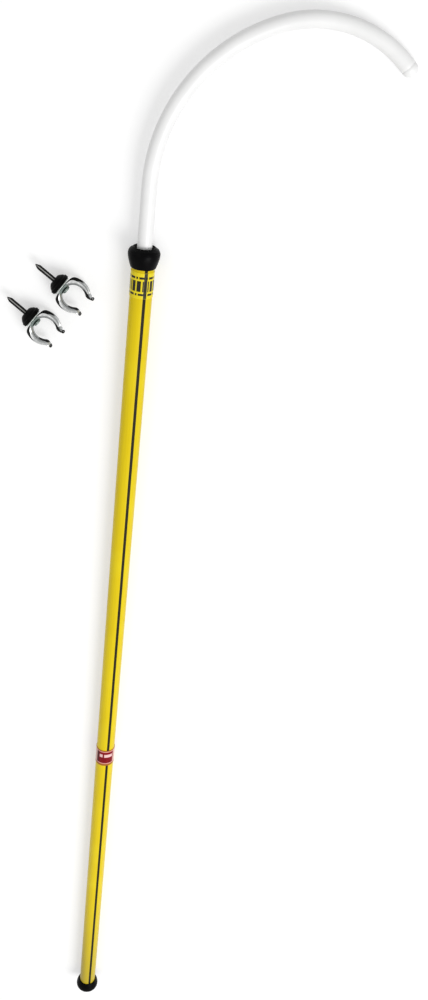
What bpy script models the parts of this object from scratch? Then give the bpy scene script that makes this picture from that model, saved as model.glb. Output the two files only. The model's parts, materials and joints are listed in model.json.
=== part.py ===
"""Insulated rescue pole with a sheathed body hook, and its two wall clips lying beside it.

Units are metres. +Y runs along the pole from its foot to its hook, +X is the side that the hook
opens to, and +Z is up. The origin is the middle of the foot cap's flat end. The pole lies on a level
surface and touches it with its foot cap, its head collar and the tip of its hook. Each clip lies on
the rim of its wall cup and on the mouth end of its two spring arms.
"""

import math

import bmesh
import bpy
from mathutils import Matrix, Vector

# Gap between two pieces that touch on the real object
CLEARANCE = 0.0003

# Tube, its foam and its printed sleeves
TUBE_RADIUS = 0.016
TUBE_WALL = 0.003
TUBE_LENGTH = 1.620
SLEEVE_THICKNESS = 0.0004
RATING_SLEEVE_LENGTH = 0.037
RATING_SLEEVE_BELOW_COLLAR = 0.0035
BAND_LENGTH = 0.0368
BAND_FROM_FOOT = 0.678

# Foot cap and the plug under it
CAP_RADIUS = 0.0225
CAP_LENGTH = 0.024
CAP_END_WALL = 0.006
CAP_FLAT_RADIUS = 0.013
CAP_SHOULDER = 0.0078
CAP_MOUTH_RADIUS = 0.0180
PLUG_FLANGE = 0.002
PLUG_DEPTH = 0.012

# Head collar and the seal inside it
COLLAR_RADIUS = 0.0225
COLLAR_LENGTH = 0.029
COLLAR_GRIP = 0.016
COLLAR_LIP_RADIUS = 0.0125
COLLAR_SKIRT_RADIUS = 0.0177
SEAL_THICKNESS = 0.0032

# Hook: a bent rod in a moulded sheath, held in a socket by two cross pins
SHEATH_RADIUS = 0.0105
CORE_RADIUS = 0.007
STEM_END_FROM_TUBE = 0.0942
FIRST_BEND_RADIUS = 0.2285
FIRST_BEND_ANGLE = math.radians(68.8)
SECOND_BEND_RADIUS = 0.157
SECOND_BEND_ANGLE = math.radians(68.5)
TIP_CAP_LENGTH = 0.013
TIP_CAP_GRIP = 0.005
SOCKET_DEPTH = 0.088
SOCKET_FLANGE = 0.002
SOCKET_FLOOR = 0.006
PIN_RADIUS = 0.002
UPPER_PIN_SHARE = 0.32
LOWER_PIN_SHARE = 0.68

# Spring strip of a clip: a gutter section that turns its rounded back to the pole
RING_RADIUS = 0.0176
STRIP_THICKNESS = 0.0010
STRIP_HALF_WIDTH = 0.0065
STRIP_DEPTH = 0.005
SADDLE_HALF_CHORD = 0.0088
MOUTH_ANGLE = math.radians(48.0)
TIP_REACH = 0.0222
TIP_SPREAD = 0.0150
TIP_BEAD_RADIUS = 0.0017
NECK_HALF_WIDTH = 0.0022
TIP_HEADING = Vector((1, 0.5)).normalized()
ARM_POWER = 2.0
SADDLE_POWER = 4.0

# Depth of an arm's gutter from the saddle round to its mouth: it flares most beside the cup
ARM_DEPTHS = (
    *(0.0050, 0.0070, 0.0084, 0.0080, 0.0073, 0.0069),
    *(0.0065, 0.0062, 0.0059, 0.0056, 0.0054, 0.0052),
)

# Screw, washers and wall cup of a clip
SCREW_RADIUS = 0.0038
SCREW_LENGTH = 0.0545
SCREW_POINT = 0.0078
SCREW_TIP_RADIUS = 0.0011
HEAD_RADIUS = 0.0060
HEAD_HEIGHT = 0.0022
HEAD_WASHER_RADIUS = 0.0076
HEAD_WASHER_THICKNESS = 0.0008
FACE_WASHER_RADIUS = 0.0142
FACE_WASHER_THICKNESS = 0.0012
CUP_RADIUS = 0.016
CUP_DEPTH = 0.0130
CUP_EDGE = 0.0008
CUP_RIM_WIDTH = 0.0052
CUP_RIM_HEIGHT = 0.0012
CUP_HUB_RADIUS = 0.0076
CUP_DISH_RADIUS = 0.0046
CUP_DISH_DEPTH = 0.0010

# The cup's dome: shares of its depth, and of its drop from the rim to the hub
CUP_DOME = ((0.35, 0.19), (0.65, 0.47), (0.88, 0.79))

# Where each clip lies: the middle of its ring, and the way that its mouth faces
CLIP_PLACES = {
    "upper": (-0.0950, 1.5558, math.radians(-35.0)),
    "lower": (-0.1349, 1.5018, math.radians(-36.0)),
}

# Facets
ROUND_SIDES = 32
ROD_SIDES = 20
SMALL_SIDES = 16
DEGREES_A_STATION = 4.5

# Sizes that follow from the ones above
FLOOR_Z = -max(CAP_RADIUS, COLLAR_RADIUS)
TUBE_INNER = TUBE_RADIUS - TUBE_WALL
BORE_FOR_TUBE = TUBE_RADIUS + CLEARANCE
BORE_FOR_SHEATH = SHEATH_RADIUS + CLEARANCE
BORE_FOR_CORE = CORE_RADIUS + CLEARANCE
PLUG_END = CAP_END_WALL + CLEARANCE
TUBE_START = PLUG_END + PLUG_FLANGE + CLEARANCE
TUBE_END = TUBE_START + TUBE_LENGTH
COLLAR_START = TUBE_END - COLLAR_GRIP
COLLAR_END = COLLAR_START + COLLAR_LENGTH
FLANGE_START = TUBE_END + CLEARANCE
FLANGE_END = FLANGE_START + SOCKET_FLANGE
SHEATH_START = FLANGE_END + CLEARANCE
SOCKET_START = TUBE_END - SOCKET_DEPTH
STEM_END = TUBE_END + STEM_END_FROM_TUBE


def gutter(half_width: float, depth: float, power: float, thickness: float, count: int = 7) -> list:
    """Cross-section of the spring strip, as (away from the pole, across) points.

    Its back at the middle is at zero, and both edges stand away from the pole by the depth.
    """
    shares = [-1 + 2 * i / (count - 1) for i in range(count)]
    near = [(depth * abs(s) ** power, half_width * s) for s in shares]
    far = []
    for i, (away, across) in enumerate(near):
        before, after = near[max(i - 1, 0)], near[min(i + 1, count - 1)]
        run = Vector((after[0] - before[0], after[1] - before[1])).normalized()
        far.append((away + thickness * run.y, across - thickness * run.x))
    return near + far[::-1]


# Places along a clip's own X axis, from the strip backwards to the wall
SADDLE_SECTION = gutter(STRIP_HALF_WIDTH, STRIP_DEPTH, SADDLE_POWER, STRIP_THICKNESS)
SADDLE_X = -math.sqrt(RING_RADIUS**2 - SADDLE_HALF_CHORD**2)
STRIP_BACK_X = SADDLE_X - max(away for away, _ in SADDLE_SECTION)
FACE_WASHER_X = STRIP_BACK_X - CLEARANCE
CUP_FRONT_X = FACE_WASHER_X - FACE_WASHER_THICKNESS - CLEARANCE
CUP_BACK_X = CUP_FRONT_X - CUP_DEPTH
HEAD_WASHER_X = SADDLE_X + CLEARANCE
HEAD_SEAT_X = HEAD_WASHER_X + HEAD_WASHER_THICKNESS + CLEARANCE
BORE_FOR_SCREW = SCREW_RADIUS + CLEARANCE

# A clip lies level on its cup's rim, which is under its balance point
RING_HEIGHT = CUP_RADIUS


def clear_scene() -> None:
    """Remove everything that the startup file holds."""
    for obj in list(bpy.data.objects):
        bpy.data.objects.remove(obj, do_unlink=True)


def material(name: str, color: tuple, roughness: float, metallic: float = 0.0):
    """A Principled material with one colour."""
    made = bpy.data.materials.new(name)
    made.use_nodes = True
    shader = made.node_tree.nodes["Principled BSDF"]
    shader.inputs["Base Color"].default_value = (*color, 1.0)
    shader.inputs["Roughness"].default_value = roughness
    shader.inputs["Metallic"].default_value = metallic
    return made


def add_object(name: str, mesh_builder: bmesh.types.BMesh, finish, parent=None):
    """Turn a bmesh into a named object with one material, shaded smooth between sharp edges."""
    bmesh.ops.recalc_face_normals(mesh_builder, faces=mesh_builder.faces)
    mesh = bpy.data.meshes.new(name)
    mesh_builder.to_mesh(mesh)
    mesh_builder.free()
    mesh.materials.append(finish)
    mesh.shade_smooth()
    mesh.set_sharp_from_angle(angle=math.radians(35))
    obj = bpy.data.objects.new(name, mesh)
    bpy.context.scene.collection.objects.link(obj)
    obj.parent = parent
    return obj


def turned(profile: list, axis: str = "Y", sides: int = ROUND_SIDES) -> bmesh.types.BMesh:
    """Spin a closed outline of (along, radius) points about the Y or X axis."""
    along = Vector((0, 1, 0)) if axis == "Y" else Vector((1, 0, 0))
    outward = Vector((0, 0, 1))
    builder = bmesh.new()
    points = [builder.verts.new(along * place + outward * radius) for place, radius in profile]
    edges = [builder.edges.new(pair) for pair in zip(points, points[1:] + points[:1])]
    bmesh.ops.spin(
        builder,
        geom=points + edges,
        cent=(0, 0, 0),
        axis=along,
        angle=math.tau,
        steps=sides,
        use_merge=True,
        use_duplicate=False,
    )
    bmesh.ops.remove_doubles(builder, verts=builder.verts, dist=1e-6)
    loose = [edge for edge in builder.edges if not edge.link_faces]
    bmesh.ops.delete(builder, geom=loose, context="EDGES")
    return builder


def lofted(rings: list) -> bmesh.types.BMesh:
    """Skin a row of closed rings that have as many points each, and close both ends."""
    builder = bmesh.new()
    rows = [[builder.verts.new(point) for point in ring] for ring in rings]
    count = len(rows[0])
    for low, high in zip(rows, rows[1:]):
        for i in range(count):
            j = (i + 1) % count
            builder.faces.new((low[i], low[j], high[j], high[i]))
    builder.faces.new(rows[0][::-1])
    builder.faces.new(rows[-1])
    return builder


def cut(obj, cutter_mesh: bmesh.types.BMesh, name: str) -> None:
    """Subtract a closed shape from an object with a Boolean."""
    cutter = add_object(name, cutter_mesh, obj.data.materials[0], obj.parent)
    cutter.hide_render = True
    cutter.display_type = "WIRE"
    hole = obj.modifiers.new(name, "BOOLEAN")
    hole.operation = "DIFFERENCE"
    hole.object = cutter


def hook_frame(distance: float) -> tuple:
    """Place and heading of the hook's centreline, at a distance past the end of the straight stem.

    A distance below zero lies on the stem. The heading is the angle from +Y towards +X.
    """
    first_length = FIRST_BEND_RADIUS * FIRST_BEND_ANGLE
    if distance <= 0:
        return 0.0, STEM_END + distance, 0.0
    turn = min(distance, first_length) / FIRST_BEND_RADIUS
    x = FIRST_BEND_RADIUS * (1 - math.cos(turn))
    y = STEM_END + FIRST_BEND_RADIUS * math.sin(turn)
    if distance > first_length:
        turn = FIRST_BEND_ANGLE + (distance - first_length) / SECOND_BEND_RADIUS
        x += SECOND_BEND_RADIUS * (math.cos(FIRST_BEND_ANGLE) - math.cos(turn))
        y += SECOND_BEND_RADIUS * (math.sin(turn) - math.sin(FIRST_BEND_ANGLE))
    return x, y, turn


HOOK_LENGTH = FIRST_BEND_RADIUS * FIRST_BEND_ANGLE + SECOND_BEND_RADIUS * SECOND_BEND_ANGLE
HOOK_REST_X = hook_frame(HOOK_LENGTH - SHEATH_RADIUS)[0]
HOOK_TILT = math.asin((-FLOOR_Z - SHEATH_RADIUS) / HOOK_REST_X)


def on_hook(distance: float, sideways: float, upward: float) -> Vector:
    """A point beside the hook's centreline, in the plane that droops until the tip is down."""
    x, y, turn = hook_frame(distance)
    flat = Vector((x + sideways * math.cos(turn), y - sideways * math.sin(turn), upward))
    return Matrix.Rotation(HOOK_TILT, 3, "Y") @ flat


def hook_stations(start: float, end: float) -> list:
    """Distances along the hook: its two ends, and steps of one angle round the bends."""
    stations = [start, 0.0]
    first_length = FIRST_BEND_RADIUS * FIRST_BEND_ANGLE
    for radius, angle, begin in (
        (FIRST_BEND_RADIUS, FIRST_BEND_ANGLE, 0.0),
        (SECOND_BEND_RADIUS, SECOND_BEND_ANGLE, first_length),
    ):
        steps = max(2, round(math.degrees(angle) / DEGREES_A_STATION))
        stations += [begin + radius * angle * (i + 1) / steps for i in range(steps)]
    step = FIRST_BEND_RADIUS * math.radians(DEGREES_A_STATION) / 3
    inside = [place for place in stations if start < place < end - step]
    return [start, *inside, end]


def hook_ring(distance: float, radius: float, sides: int) -> list:
    """A circle of points round the hook's centreline."""
    turns = [math.tau * i / sides for i in range(sides)]
    return [on_hook(distance, radius * math.sin(a), radius * math.cos(a)) for a in turns]


def swept_tube(start: float, end: float, outer: float, inner: float, sides: int):
    """A tube that follows the hook: an outer skin, an inner skin and two ring-shaped ends."""
    builder = bmesh.new()
    stations = hook_stations(start, end)
    skins = []
    for radius in (outer, inner):
        skins.append([[builder.verts.new(p) for p in hook_ring(s, radius, sides)] for s in stations])
    for skin in skins:
        for low, high in zip(skin, skin[1:]):
            for i in range(sides):
                j = (i + 1) % sides
                builder.faces.new((low[i], low[j], high[j], high[i]))
    for end_row in (0, -1):
        for i in range(sides):
            j = (i + 1) % sides
            outer_row, inner_row = skins[0][end_row], skins[1][end_row]
            builder.faces.new((outer_row[i], outer_row[j], inner_row[j], inner_row[i]))
    return builder


def make_tube_parts(finish: dict) -> None:
    """The insulating tube, the foam that fills it and the two printed sleeves on it."""
    tube = [
        (TUBE_START, TUBE_INNER),
        (TUBE_START, TUBE_RADIUS),
        (TUBE_END, TUBE_RADIUS),
        (TUBE_END, TUBE_INNER),
    ]
    add_object("insulating_tube", turned(tube), finish["tube"])
    foam_radius = TUBE_INNER - CLEARANCE
    foam_start = TUBE_START + PLUG_DEPTH + CLEARANCE
    foam_end = SOCKET_START - CLEARANCE
    foam = [(foam_start, 0), (foam_start, foam_radius), (foam_end, foam_radius), (foam_end, 0)]
    add_object("foam_core", turned(foam), finish["foam"])
    sleeve_inner = TUBE_RADIUS + CLEARANCE
    sleeve_outer = sleeve_inner + SLEEVE_THICKNESS
    rating_end = COLLAR_START - RATING_SLEEVE_BELOW_COLLAR
    for name, start, end, look in (
        ("rating_sleeve", rating_end - RATING_SLEEVE_LENGTH, rating_end, "rating"),
        ("band_sleeve", BAND_FROM_FOOT, BAND_FROM_FOOT + BAND_LENGTH, "band"),
    ):
        outline = [(start, sleeve_inner), (start, sleeve_outer), (end, sleeve_outer), (end, sleeve_inner)]
        add_object(name, turned(outline), finish[look])


def make_foot(finish: dict) -> None:
    """The rubber foot cap, and the plug that closes the tube under it."""
    low_shoulder = CAP_SHOULDER / 3
    swell = CAP_RADIUS - CAP_MOUTH_RADIUS
    cap = [
        (0, 0),
        (0, CAP_FLAT_RADIUS),
        (low_shoulder / 3, (CAP_FLAT_RADIUS + CAP_RADIUS) / 2),
        (low_shoulder, CAP_RADIUS - low_shoulder / 2),
        (CAP_SHOULDER * 2 / 3, CAP_RADIUS - low_shoulder / 8),
        (CAP_SHOULDER, CAP_RADIUS),
        (CAP_LENGTH * 0.5, CAP_RADIUS - swell * 0.1),
        (CAP_LENGTH * 0.75, CAP_RADIUS - swell * 0.5),
        (CAP_LENGTH, CAP_MOUTH_RADIUS),
        (CAP_LENGTH, BORE_FOR_TUBE),
        (CAP_END_WALL, BORE_FOR_TUBE),
        (CAP_END_WALL, 0),
    ]
    add_object("foot_cap", turned(cap), finish["rubber"])
    flange_end = PLUG_END + PLUG_FLANGE
    plug_end = TUBE_START + PLUG_DEPTH
    plug_radius = TUBE_INNER - CLEARANCE
    plug = [
        (PLUG_END, 0),
        (PLUG_END, TUBE_RADIUS),
        (flange_end, TUBE_RADIUS),
        (flange_end, plug_radius),
        (plug_end, plug_radius),
        (plug_end, 0),
    ]
    add_object("foot_plug", turned(plug), finish["nylon"])


def make_head(finish: dict) -> None:
    """The rubber collar, the sealing ring in it and the socket that carries the hook."""
    seal_inner = BORE_FOR_SHEATH
    seal_outer = seal_inner + SEAL_THICKNESS
    seal_end = SHEATH_START + SEAL_THICKNESS
    swell = COLLAR_RADIUS - COLLAR_SKIRT_RADIUS
    neck = COLLAR_RADIUS - COLLAR_LIP_RADIUS
    collar = [
        (COLLAR_START, BORE_FOR_TUBE),
        (COLLAR_START, COLLAR_SKIRT_RADIUS),
        (COLLAR_START + COLLAR_LENGTH * 0.24, COLLAR_SKIRT_RADIUS + swell * 0.48),
        (COLLAR_START + COLLAR_LENGTH * 0.48, COLLAR_SKIRT_RADIUS + swell * 0.88),
        (COLLAR_START + COLLAR_LENGTH * 0.62, COLLAR_RADIUS),
        (COLLAR_START + COLLAR_LENGTH * 0.74, COLLAR_RADIUS),
        (COLLAR_START + COLLAR_LENGTH * 0.86, COLLAR_RADIUS - neck * 0.2),
        (COLLAR_START + COLLAR_LENGTH * 0.96, COLLAR_RADIUS - neck * 0.58),
        (COLLAR_END, COLLAR_LIP_RADIUS),
        (COLLAR_END, BORE_FOR_SHEATH),
        (seal_end + CLEARANCE, BORE_FOR_SHEATH),
        (seal_end + CLEARANCE, seal_outer + CLEARANCE),
        (SHEATH_START, seal_outer + CLEARANCE),
        (SHEATH_START, BORE_FOR_TUBE),
    ]
    add_object("head_collar", turned(collar), finish["rubber"])
    middle = SHEATH_START + SEAL_THICKNESS / 2
    half = SEAL_THICKNESS / 2
    turns = [math.tau * i / 8 for i in range(8)]
    seal = [(middle + half * math.sin(a), seal_inner + half + half * math.cos(a)) for a in turns]
    add_object("collar_seal", turned(seal, sides=24), finish["seal"])
    body_radius = TUBE_INNER - CLEARANCE
    floor_end = SOCKET_START + SOCKET_FLOOR
    socket_outline = [
        (SOCKET_START, 0),
        (SOCKET_START, body_radius),
        (FLANGE_START, body_radius),
        (FLANGE_START, TUBE_RADIUS),
        (FLANGE_END, TUBE_RADIUS),
        (FLANGE_END, BORE_FOR_CORE),
        (floor_end, BORE_FOR_CORE),
        (floor_end, 0),
    ]
    socket = add_object("hook_socket", turned(socket_outline), finish["nylon"])
    core = make_core(finish, floor_end + CLEARANCE)
    for name, depth_share, turn in (
        ("cross_pin_upper", UPPER_PIN_SHARE, 0),
        ("cross_pin_lower", LOWER_PIN_SHARE, math.pi / 2),
    ):
        place = TUBE_END - SOCKET_DEPTH * depth_share
        where = Matrix.Translation((0, place, 0)) @ Matrix.Rotation(turn, 4, "Y")
        pin_half = math.sqrt(body_radius**2 - PIN_RADIUS**2)
        pin = [(-pin_half, 0), (-pin_half, PIN_RADIUS), (pin_half, PIN_RADIUS), (pin_half, 0)]
        pin_mesh = turned(pin, "X", SMALL_SIDES)
        bmesh.ops.transform(pin_mesh, matrix=where, verts=pin_mesh.verts)
        add_object(name, pin_mesh, finish["pin"])
        for piece in (socket, core):
            reach = 2 * TUBE_RADIUS
            hole_radius = PIN_RADIUS + CLEARANCE
            hole = [(-reach, 0), (-reach, hole_radius), (reach, hole_radius), (reach, 0)]
            hole_mesh = turned(hole, "X", SMALL_SIDES)
            bmesh.ops.transform(hole_mesh, matrix=where, verts=hole_mesh.verts)
            cut(piece, hole_mesh, f"{name}_hole_in_{piece.name}")


def make_core(finish: dict, start: float):
    """The solid rod inside the hook, from the bottom of its socket into the tip cap."""
    core_end = HOOK_LENGTH - TIP_CAP_LENGTH + TIP_CAP_GRIP
    stations = hook_stations(start - STEM_END, core_end)
    rings = [hook_ring(place, CORE_RADIUS, SMALL_SIDES) for place in stations]
    return add_object("hook_core", lofted(rings), finish["core"])


def make_hook(finish: dict) -> None:
    """The white sheath over the rod, and the rounded cap that closes its tip."""
    sheath_end = HOOK_LENGTH - TIP_CAP_LENGTH - CLEARANCE
    sheath = swept_tube(SHEATH_START - STEM_END, sheath_end, SHEATH_RADIUS, BORE_FOR_CORE, ROD_SIDES)
    add_object("hook_sheath", sheath, finish["sheath"])
    cap_start = HOOK_LENGTH - TIP_CAP_LENGTH
    bore_end = cap_start + TIP_CAP_GRIP + CLEARANCE
    straight = TIP_CAP_LENGTH - SHEATH_RADIUS
    rings = [hook_ring(bore_end, BORE_FOR_CORE, ROD_SIDES), hook_ring(cap_start, BORE_FOR_CORE, ROD_SIDES)]
    rings += [hook_ring(cap_start, SHEATH_RADIUS, ROD_SIDES)]
    for degrees in (0, 25, 45, 63, 78):
        angle = math.radians(degrees)
        place = cap_start + straight + SHEATH_RADIUS * math.sin(angle)
        rings.append(hook_ring(place, SHEATH_RADIUS * math.cos(angle), ROD_SIDES))
    add_object("hook_tip_cap", lofted(rings), finish["sheath"])


def arm_path() -> list:
    """The back of one arm's strip, from the saddle round the ring to the flared tip.

    Each station is (x, y, outward direction, half width, depth). The outward direction is the way
    that the strip's edges stand away from the pole.
    """
    stations = []
    first_angle = math.atan2(SADDLE_HALF_CHORD + CLEARANCE, SADDLE_X)
    steps = len(ARM_DEPTHS) - 1
    for i, depth in enumerate(ARM_DEPTHS):
        angle = first_angle + (MOUTH_ANGLE - first_angle) * i / steps
        outward = Vector((-1, 0)) if i == 0 else Vector((math.cos(angle), math.sin(angle)))
        place = Vector((math.cos(angle), math.sin(angle))) * RING_RADIUS
        if i == 0:
            place = Vector((SADDLE_X, SADDLE_HALF_CHORD + CLEARANCE))
        stations.append((place, outward, STRIP_HALF_WIDTH, depth))
    start = stations[-1][0]
    tip = Vector((TIP_REACH, TIP_SPREAD))
    leaving = Vector((math.sin(MOUTH_ANGLE), -math.cos(MOUTH_ANGLE))) * RING_RADIUS * 0.2
    arriving = TIP_HEADING * RING_RADIUS * 0.25
    for i, width_share in enumerate((0.78, 0.5, 0.0, 0.0), start=1):
        t = i / 5
        place = (
            start * (1 - t) ** 3
            + (start + leaving) * 3 * t * (1 - t) ** 2
            + (tip - arriving) * 3 * t**2 * (1 - t)
            + tip * t**3
        )
        slope = (
            leaving * 3 * (1 - t) ** 2
            + (tip - arriving - start - leaving) * 6 * t * (1 - t)
            + arriving * 3 * t**2
        ).normalized()
        half_width = NECK_HALF_WIDTH + (STRIP_HALF_WIDTH - NECK_HALF_WIDTH) * width_share
        stations.append((place, Vector((-slope.y, slope.x)), half_width, depth * width_share))
    return stations


def arm_mesh(side: int) -> bmesh.types.BMesh:
    """One spring arm, on the +Y side for 1 and mirrored for -1, in the clip's own frame."""
    rings = []
    for place, outward, half_width, depth in arm_path():
        power = ARM_POWER if rings else SADDLE_POWER
        section = gutter(half_width, depth, power, STRIP_THICKNESS)
        rings.append([(*(place + outward * away), across) for away, across in section])
    outward = Vector((-TIP_HEADING.y, TIP_HEADING.x))
    middle = Vector((TIP_REACH, TIP_SPREAD))
    count = len(rings[0])
    near_count = count // 2
    for back, share in ((-0.9, 0.55), (-0.45, 0.95), (0.3, 1.0), (0.8, 0.7), (1.0, 0.25)):
        centre = middle + TIP_HEADING * TIP_BEAD_RADIUS * back
        radius = TIP_BEAD_RADIUS * share
        ring = []
        for i in range(count):
            turn = math.pi * ((i + 0.5) / near_count)
            away, across = -radius * math.sin(turn), -radius * math.cos(turn)
            ring.append((*(centre + outward * away), across))
        rings.append(ring)
    if side < 0:
        rings = [[(x, -y, z) for x, y, z in ring][::-1] for ring in rings]
    return lofted(rings)


def saddle_mesh() -> bmesh.types.BMesh:
    """The flat back of the spring strip, between its two arms."""
    rings = []
    for y in (-SADDLE_HALF_CHORD, SADDLE_HALF_CHORD):
        rings.append([(SADDLE_X - away, y, across) for away, across in SADDLE_SECTION])
    return lofted(rings)


def washer_outline(front: float, thickness: float, radius: float) -> list:
    """Outline of a flat washer for the screw, from its face nearest the mouth backwards."""
    back = front - thickness
    return [(front, BORE_FOR_SCREW), (front, radius), (back, radius), (back, BORE_FOR_SCREW)]


def cup_outline() -> list:
    """Outline of the wall cup: a wide rim next to the clip, and a dome down to a hub on the wall."""
    rim_back = CUP_FRONT_X - CUP_RIM_WIDTH
    dome_start = rim_back - CUP_RIM_HEIGHT / 2
    dome_radius = CUP_RADIUS - CUP_RIM_HEIGHT
    dome = []
    for depth, drop in CUP_DOME:
        along = dome_start + (CUP_BACK_X - dome_start) * depth
        dome.append((along, dome_radius + (CUP_HUB_RADIUS - dome_radius) * drop))
    return [
        (CUP_FRONT_X, BORE_FOR_SCREW),
        (CUP_FRONT_X, CUP_RADIUS - CUP_EDGE),
        (CUP_FRONT_X - CUP_EDGE, CUP_RADIUS),
        (rim_back, CUP_RADIUS),
        (dome_start, dome_radius),
        *dome,
        (CUP_BACK_X, CUP_HUB_RADIUS),
        (CUP_BACK_X, CUP_DISH_RADIUS),
        (CUP_BACK_X + CUP_DISH_DEPTH, BORE_FOR_SCREW),
    ]


def screw_outline() -> list:
    """Outline of the wall screw, from its head inside the clip to its point."""
    head_top = HEAD_SEAT_X + HEAD_HEIGHT
    end = HEAD_SEAT_X - SCREW_LENGTH
    return [
        (head_top, 0),
        (head_top, HEAD_RADIUS * 0.6),
        (head_top - HEAD_HEIGHT / 3, HEAD_RADIUS * 0.92),
        (HEAD_SEAT_X + HEAD_HEIGHT / 4, HEAD_RADIUS),
        (HEAD_SEAT_X, HEAD_RADIUS),
        (HEAD_SEAT_X, SCREW_RADIUS),
        (end + SCREW_POINT, SCREW_RADIUS),
        (end + SCREW_TIP_RADIUS / 2, SCREW_TIP_RADIUS * 1.2),
        (end, SCREW_TIP_RADIUS / 2),
        (end, 0),
    ]


def add_empty(name: str, place: Matrix, parent=None):
    """A named reference frame."""
    empty = bpy.data.objects.new(name, None)
    bpy.context.scene.collection.objects.link(empty)
    empty.parent = parent
    empty.matrix_local = place
    return empty


def make_clip(which: str, finish: dict) -> None:
    """One wall clip: its strip, screw, washers and cup, laid down where the photograph has it."""
    x, y, heading = CLIP_PLACES[which]
    lying = Matrix.Translation((x, y, FLOOR_Z + RING_HEIGHT))
    lying @= Matrix.Rotation(heading, 4, "Z")
    clip = add_empty(f"{which}_clip", lying)

    saddle = add_object(f"{which}_clip_saddle", saddle_mesh(), finish["spring"], clip)
    reach = STRIP_DEPTH * 3
    hole = [
        (SADDLE_X + reach, 0),
        (SADDLE_X + reach, BORE_FOR_SCREW),
        (SADDLE_X - reach, BORE_FOR_SCREW),
        (SADDLE_X - reach, 0),
    ]
    cut(saddle, turned(hole, "X", SMALL_SIDES), f"{which}_clip_screw_hole")

    for side_name, side in (("left", 1), ("right", -1)):
        pivot = Vector((STRIP_BACK_X, side * SADDLE_HALF_CHORD, 0))
        hinge = add_empty(f"{which}_{side_name}_arm_hinge", Matrix.Translation(pivot), clip)
        mesh = arm_mesh(side)
        bmesh.ops.translate(mesh, vec=-pivot, verts=mesh.verts)
        add_object(f"{which}_clip_{side_name}_arm", mesh, finish["spring"], hinge)

    for name, outline, look, sides in (
        ("clip_head_washer", washer_outline(HEAD_WASHER_X + HEAD_WASHER_THICKNESS,
                                            HEAD_WASHER_THICKNESS, HEAD_WASHER_RADIUS), "zinc", 24),
        ("clip_face_washer", washer_outline(FACE_WASHER_X, FACE_WASHER_THICKNESS,
                                            FACE_WASHER_RADIUS), "zinc", ROUND_SIDES),
        ("clip_wall_cup", cup_outline(), "cup", ROUND_SIDES),
        ("clip_screw", screw_outline(), "screw", SMALL_SIDES),
    ):
        add_object(f"{which}_{name}", turned(outline, "X", sides), finish[look], clip)


def make_finishes() -> dict:
    """The plain materials of the sub-parts."""
    return {
        "tube": material("yellow_glass_fibre", (0.78, 0.66, 0.05), 0.35),
        "foam": material("cream_foam", (0.85, 0.80, 0.62), 0.9),
        "rating": material("yellow_printed_sleeve", (0.82, 0.72, 0.08), 0.3),
        "band": material("red_printed_sleeve", (0.45, 0.04, 0.03), 0.3),
        "rubber": material("black_rubber", (0.012, 0.012, 0.013), 0.45),
        "seal": material("seal_rubber", (0.02, 0.02, 0.02), 0.6),
        "nylon": material("grey_nylon", (0.55, 0.55, 0.52), 0.5),
        "core": material("glass_fibre_rod", (0.80, 0.74, 0.50), 0.5),
        "pin": material("glass_fibre_pin", (0.70, 0.66, 0.50), 0.5),
        "sheath": material("white_sheath", (0.88, 0.88, 0.87), 0.35),
        "spring": material("bright_spring_steel", (0.62, 0.63, 0.64), 0.25, 1.0),
        "zinc": material("zinc_plated_steel", (0.55, 0.60, 0.58), 0.35, 1.0),
        "cup": material("black_cup", (0.012, 0.012, 0.012), 0.4),
        "screw": material("black_screw", (0.06, 0.06, 0.06), 0.3, 1.0),
    }


def main() -> None:
    """Model the pole and both clips."""
    clear_scene()
    finish = make_finishes()
    make_tube_parts(finish)
    make_foot(finish)
    make_head(finish)
    make_hook(finish)
    for which in CLIP_PLACES:
        make_clip(which, finish)


main()
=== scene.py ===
"""Scene of the insulated rescue pole and its two wall clips, dressed as the photograph shows them.

Units are metres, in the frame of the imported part: +Y runs along the pole from foot to hook, +X is the
side that the hook opens to, +Z is up, and the floor is level with the lowest point of the foot cap.
"""

import json
import logging
import math
from dataclasses import dataclass
from dataclasses import field
from enum import Enum
from typing import Any
from typing import Callable
from typing import Iterable
from typing import Optional
from typing import Union

import bpy
from mathutils import Matrix
from mathutils import Vector

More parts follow.
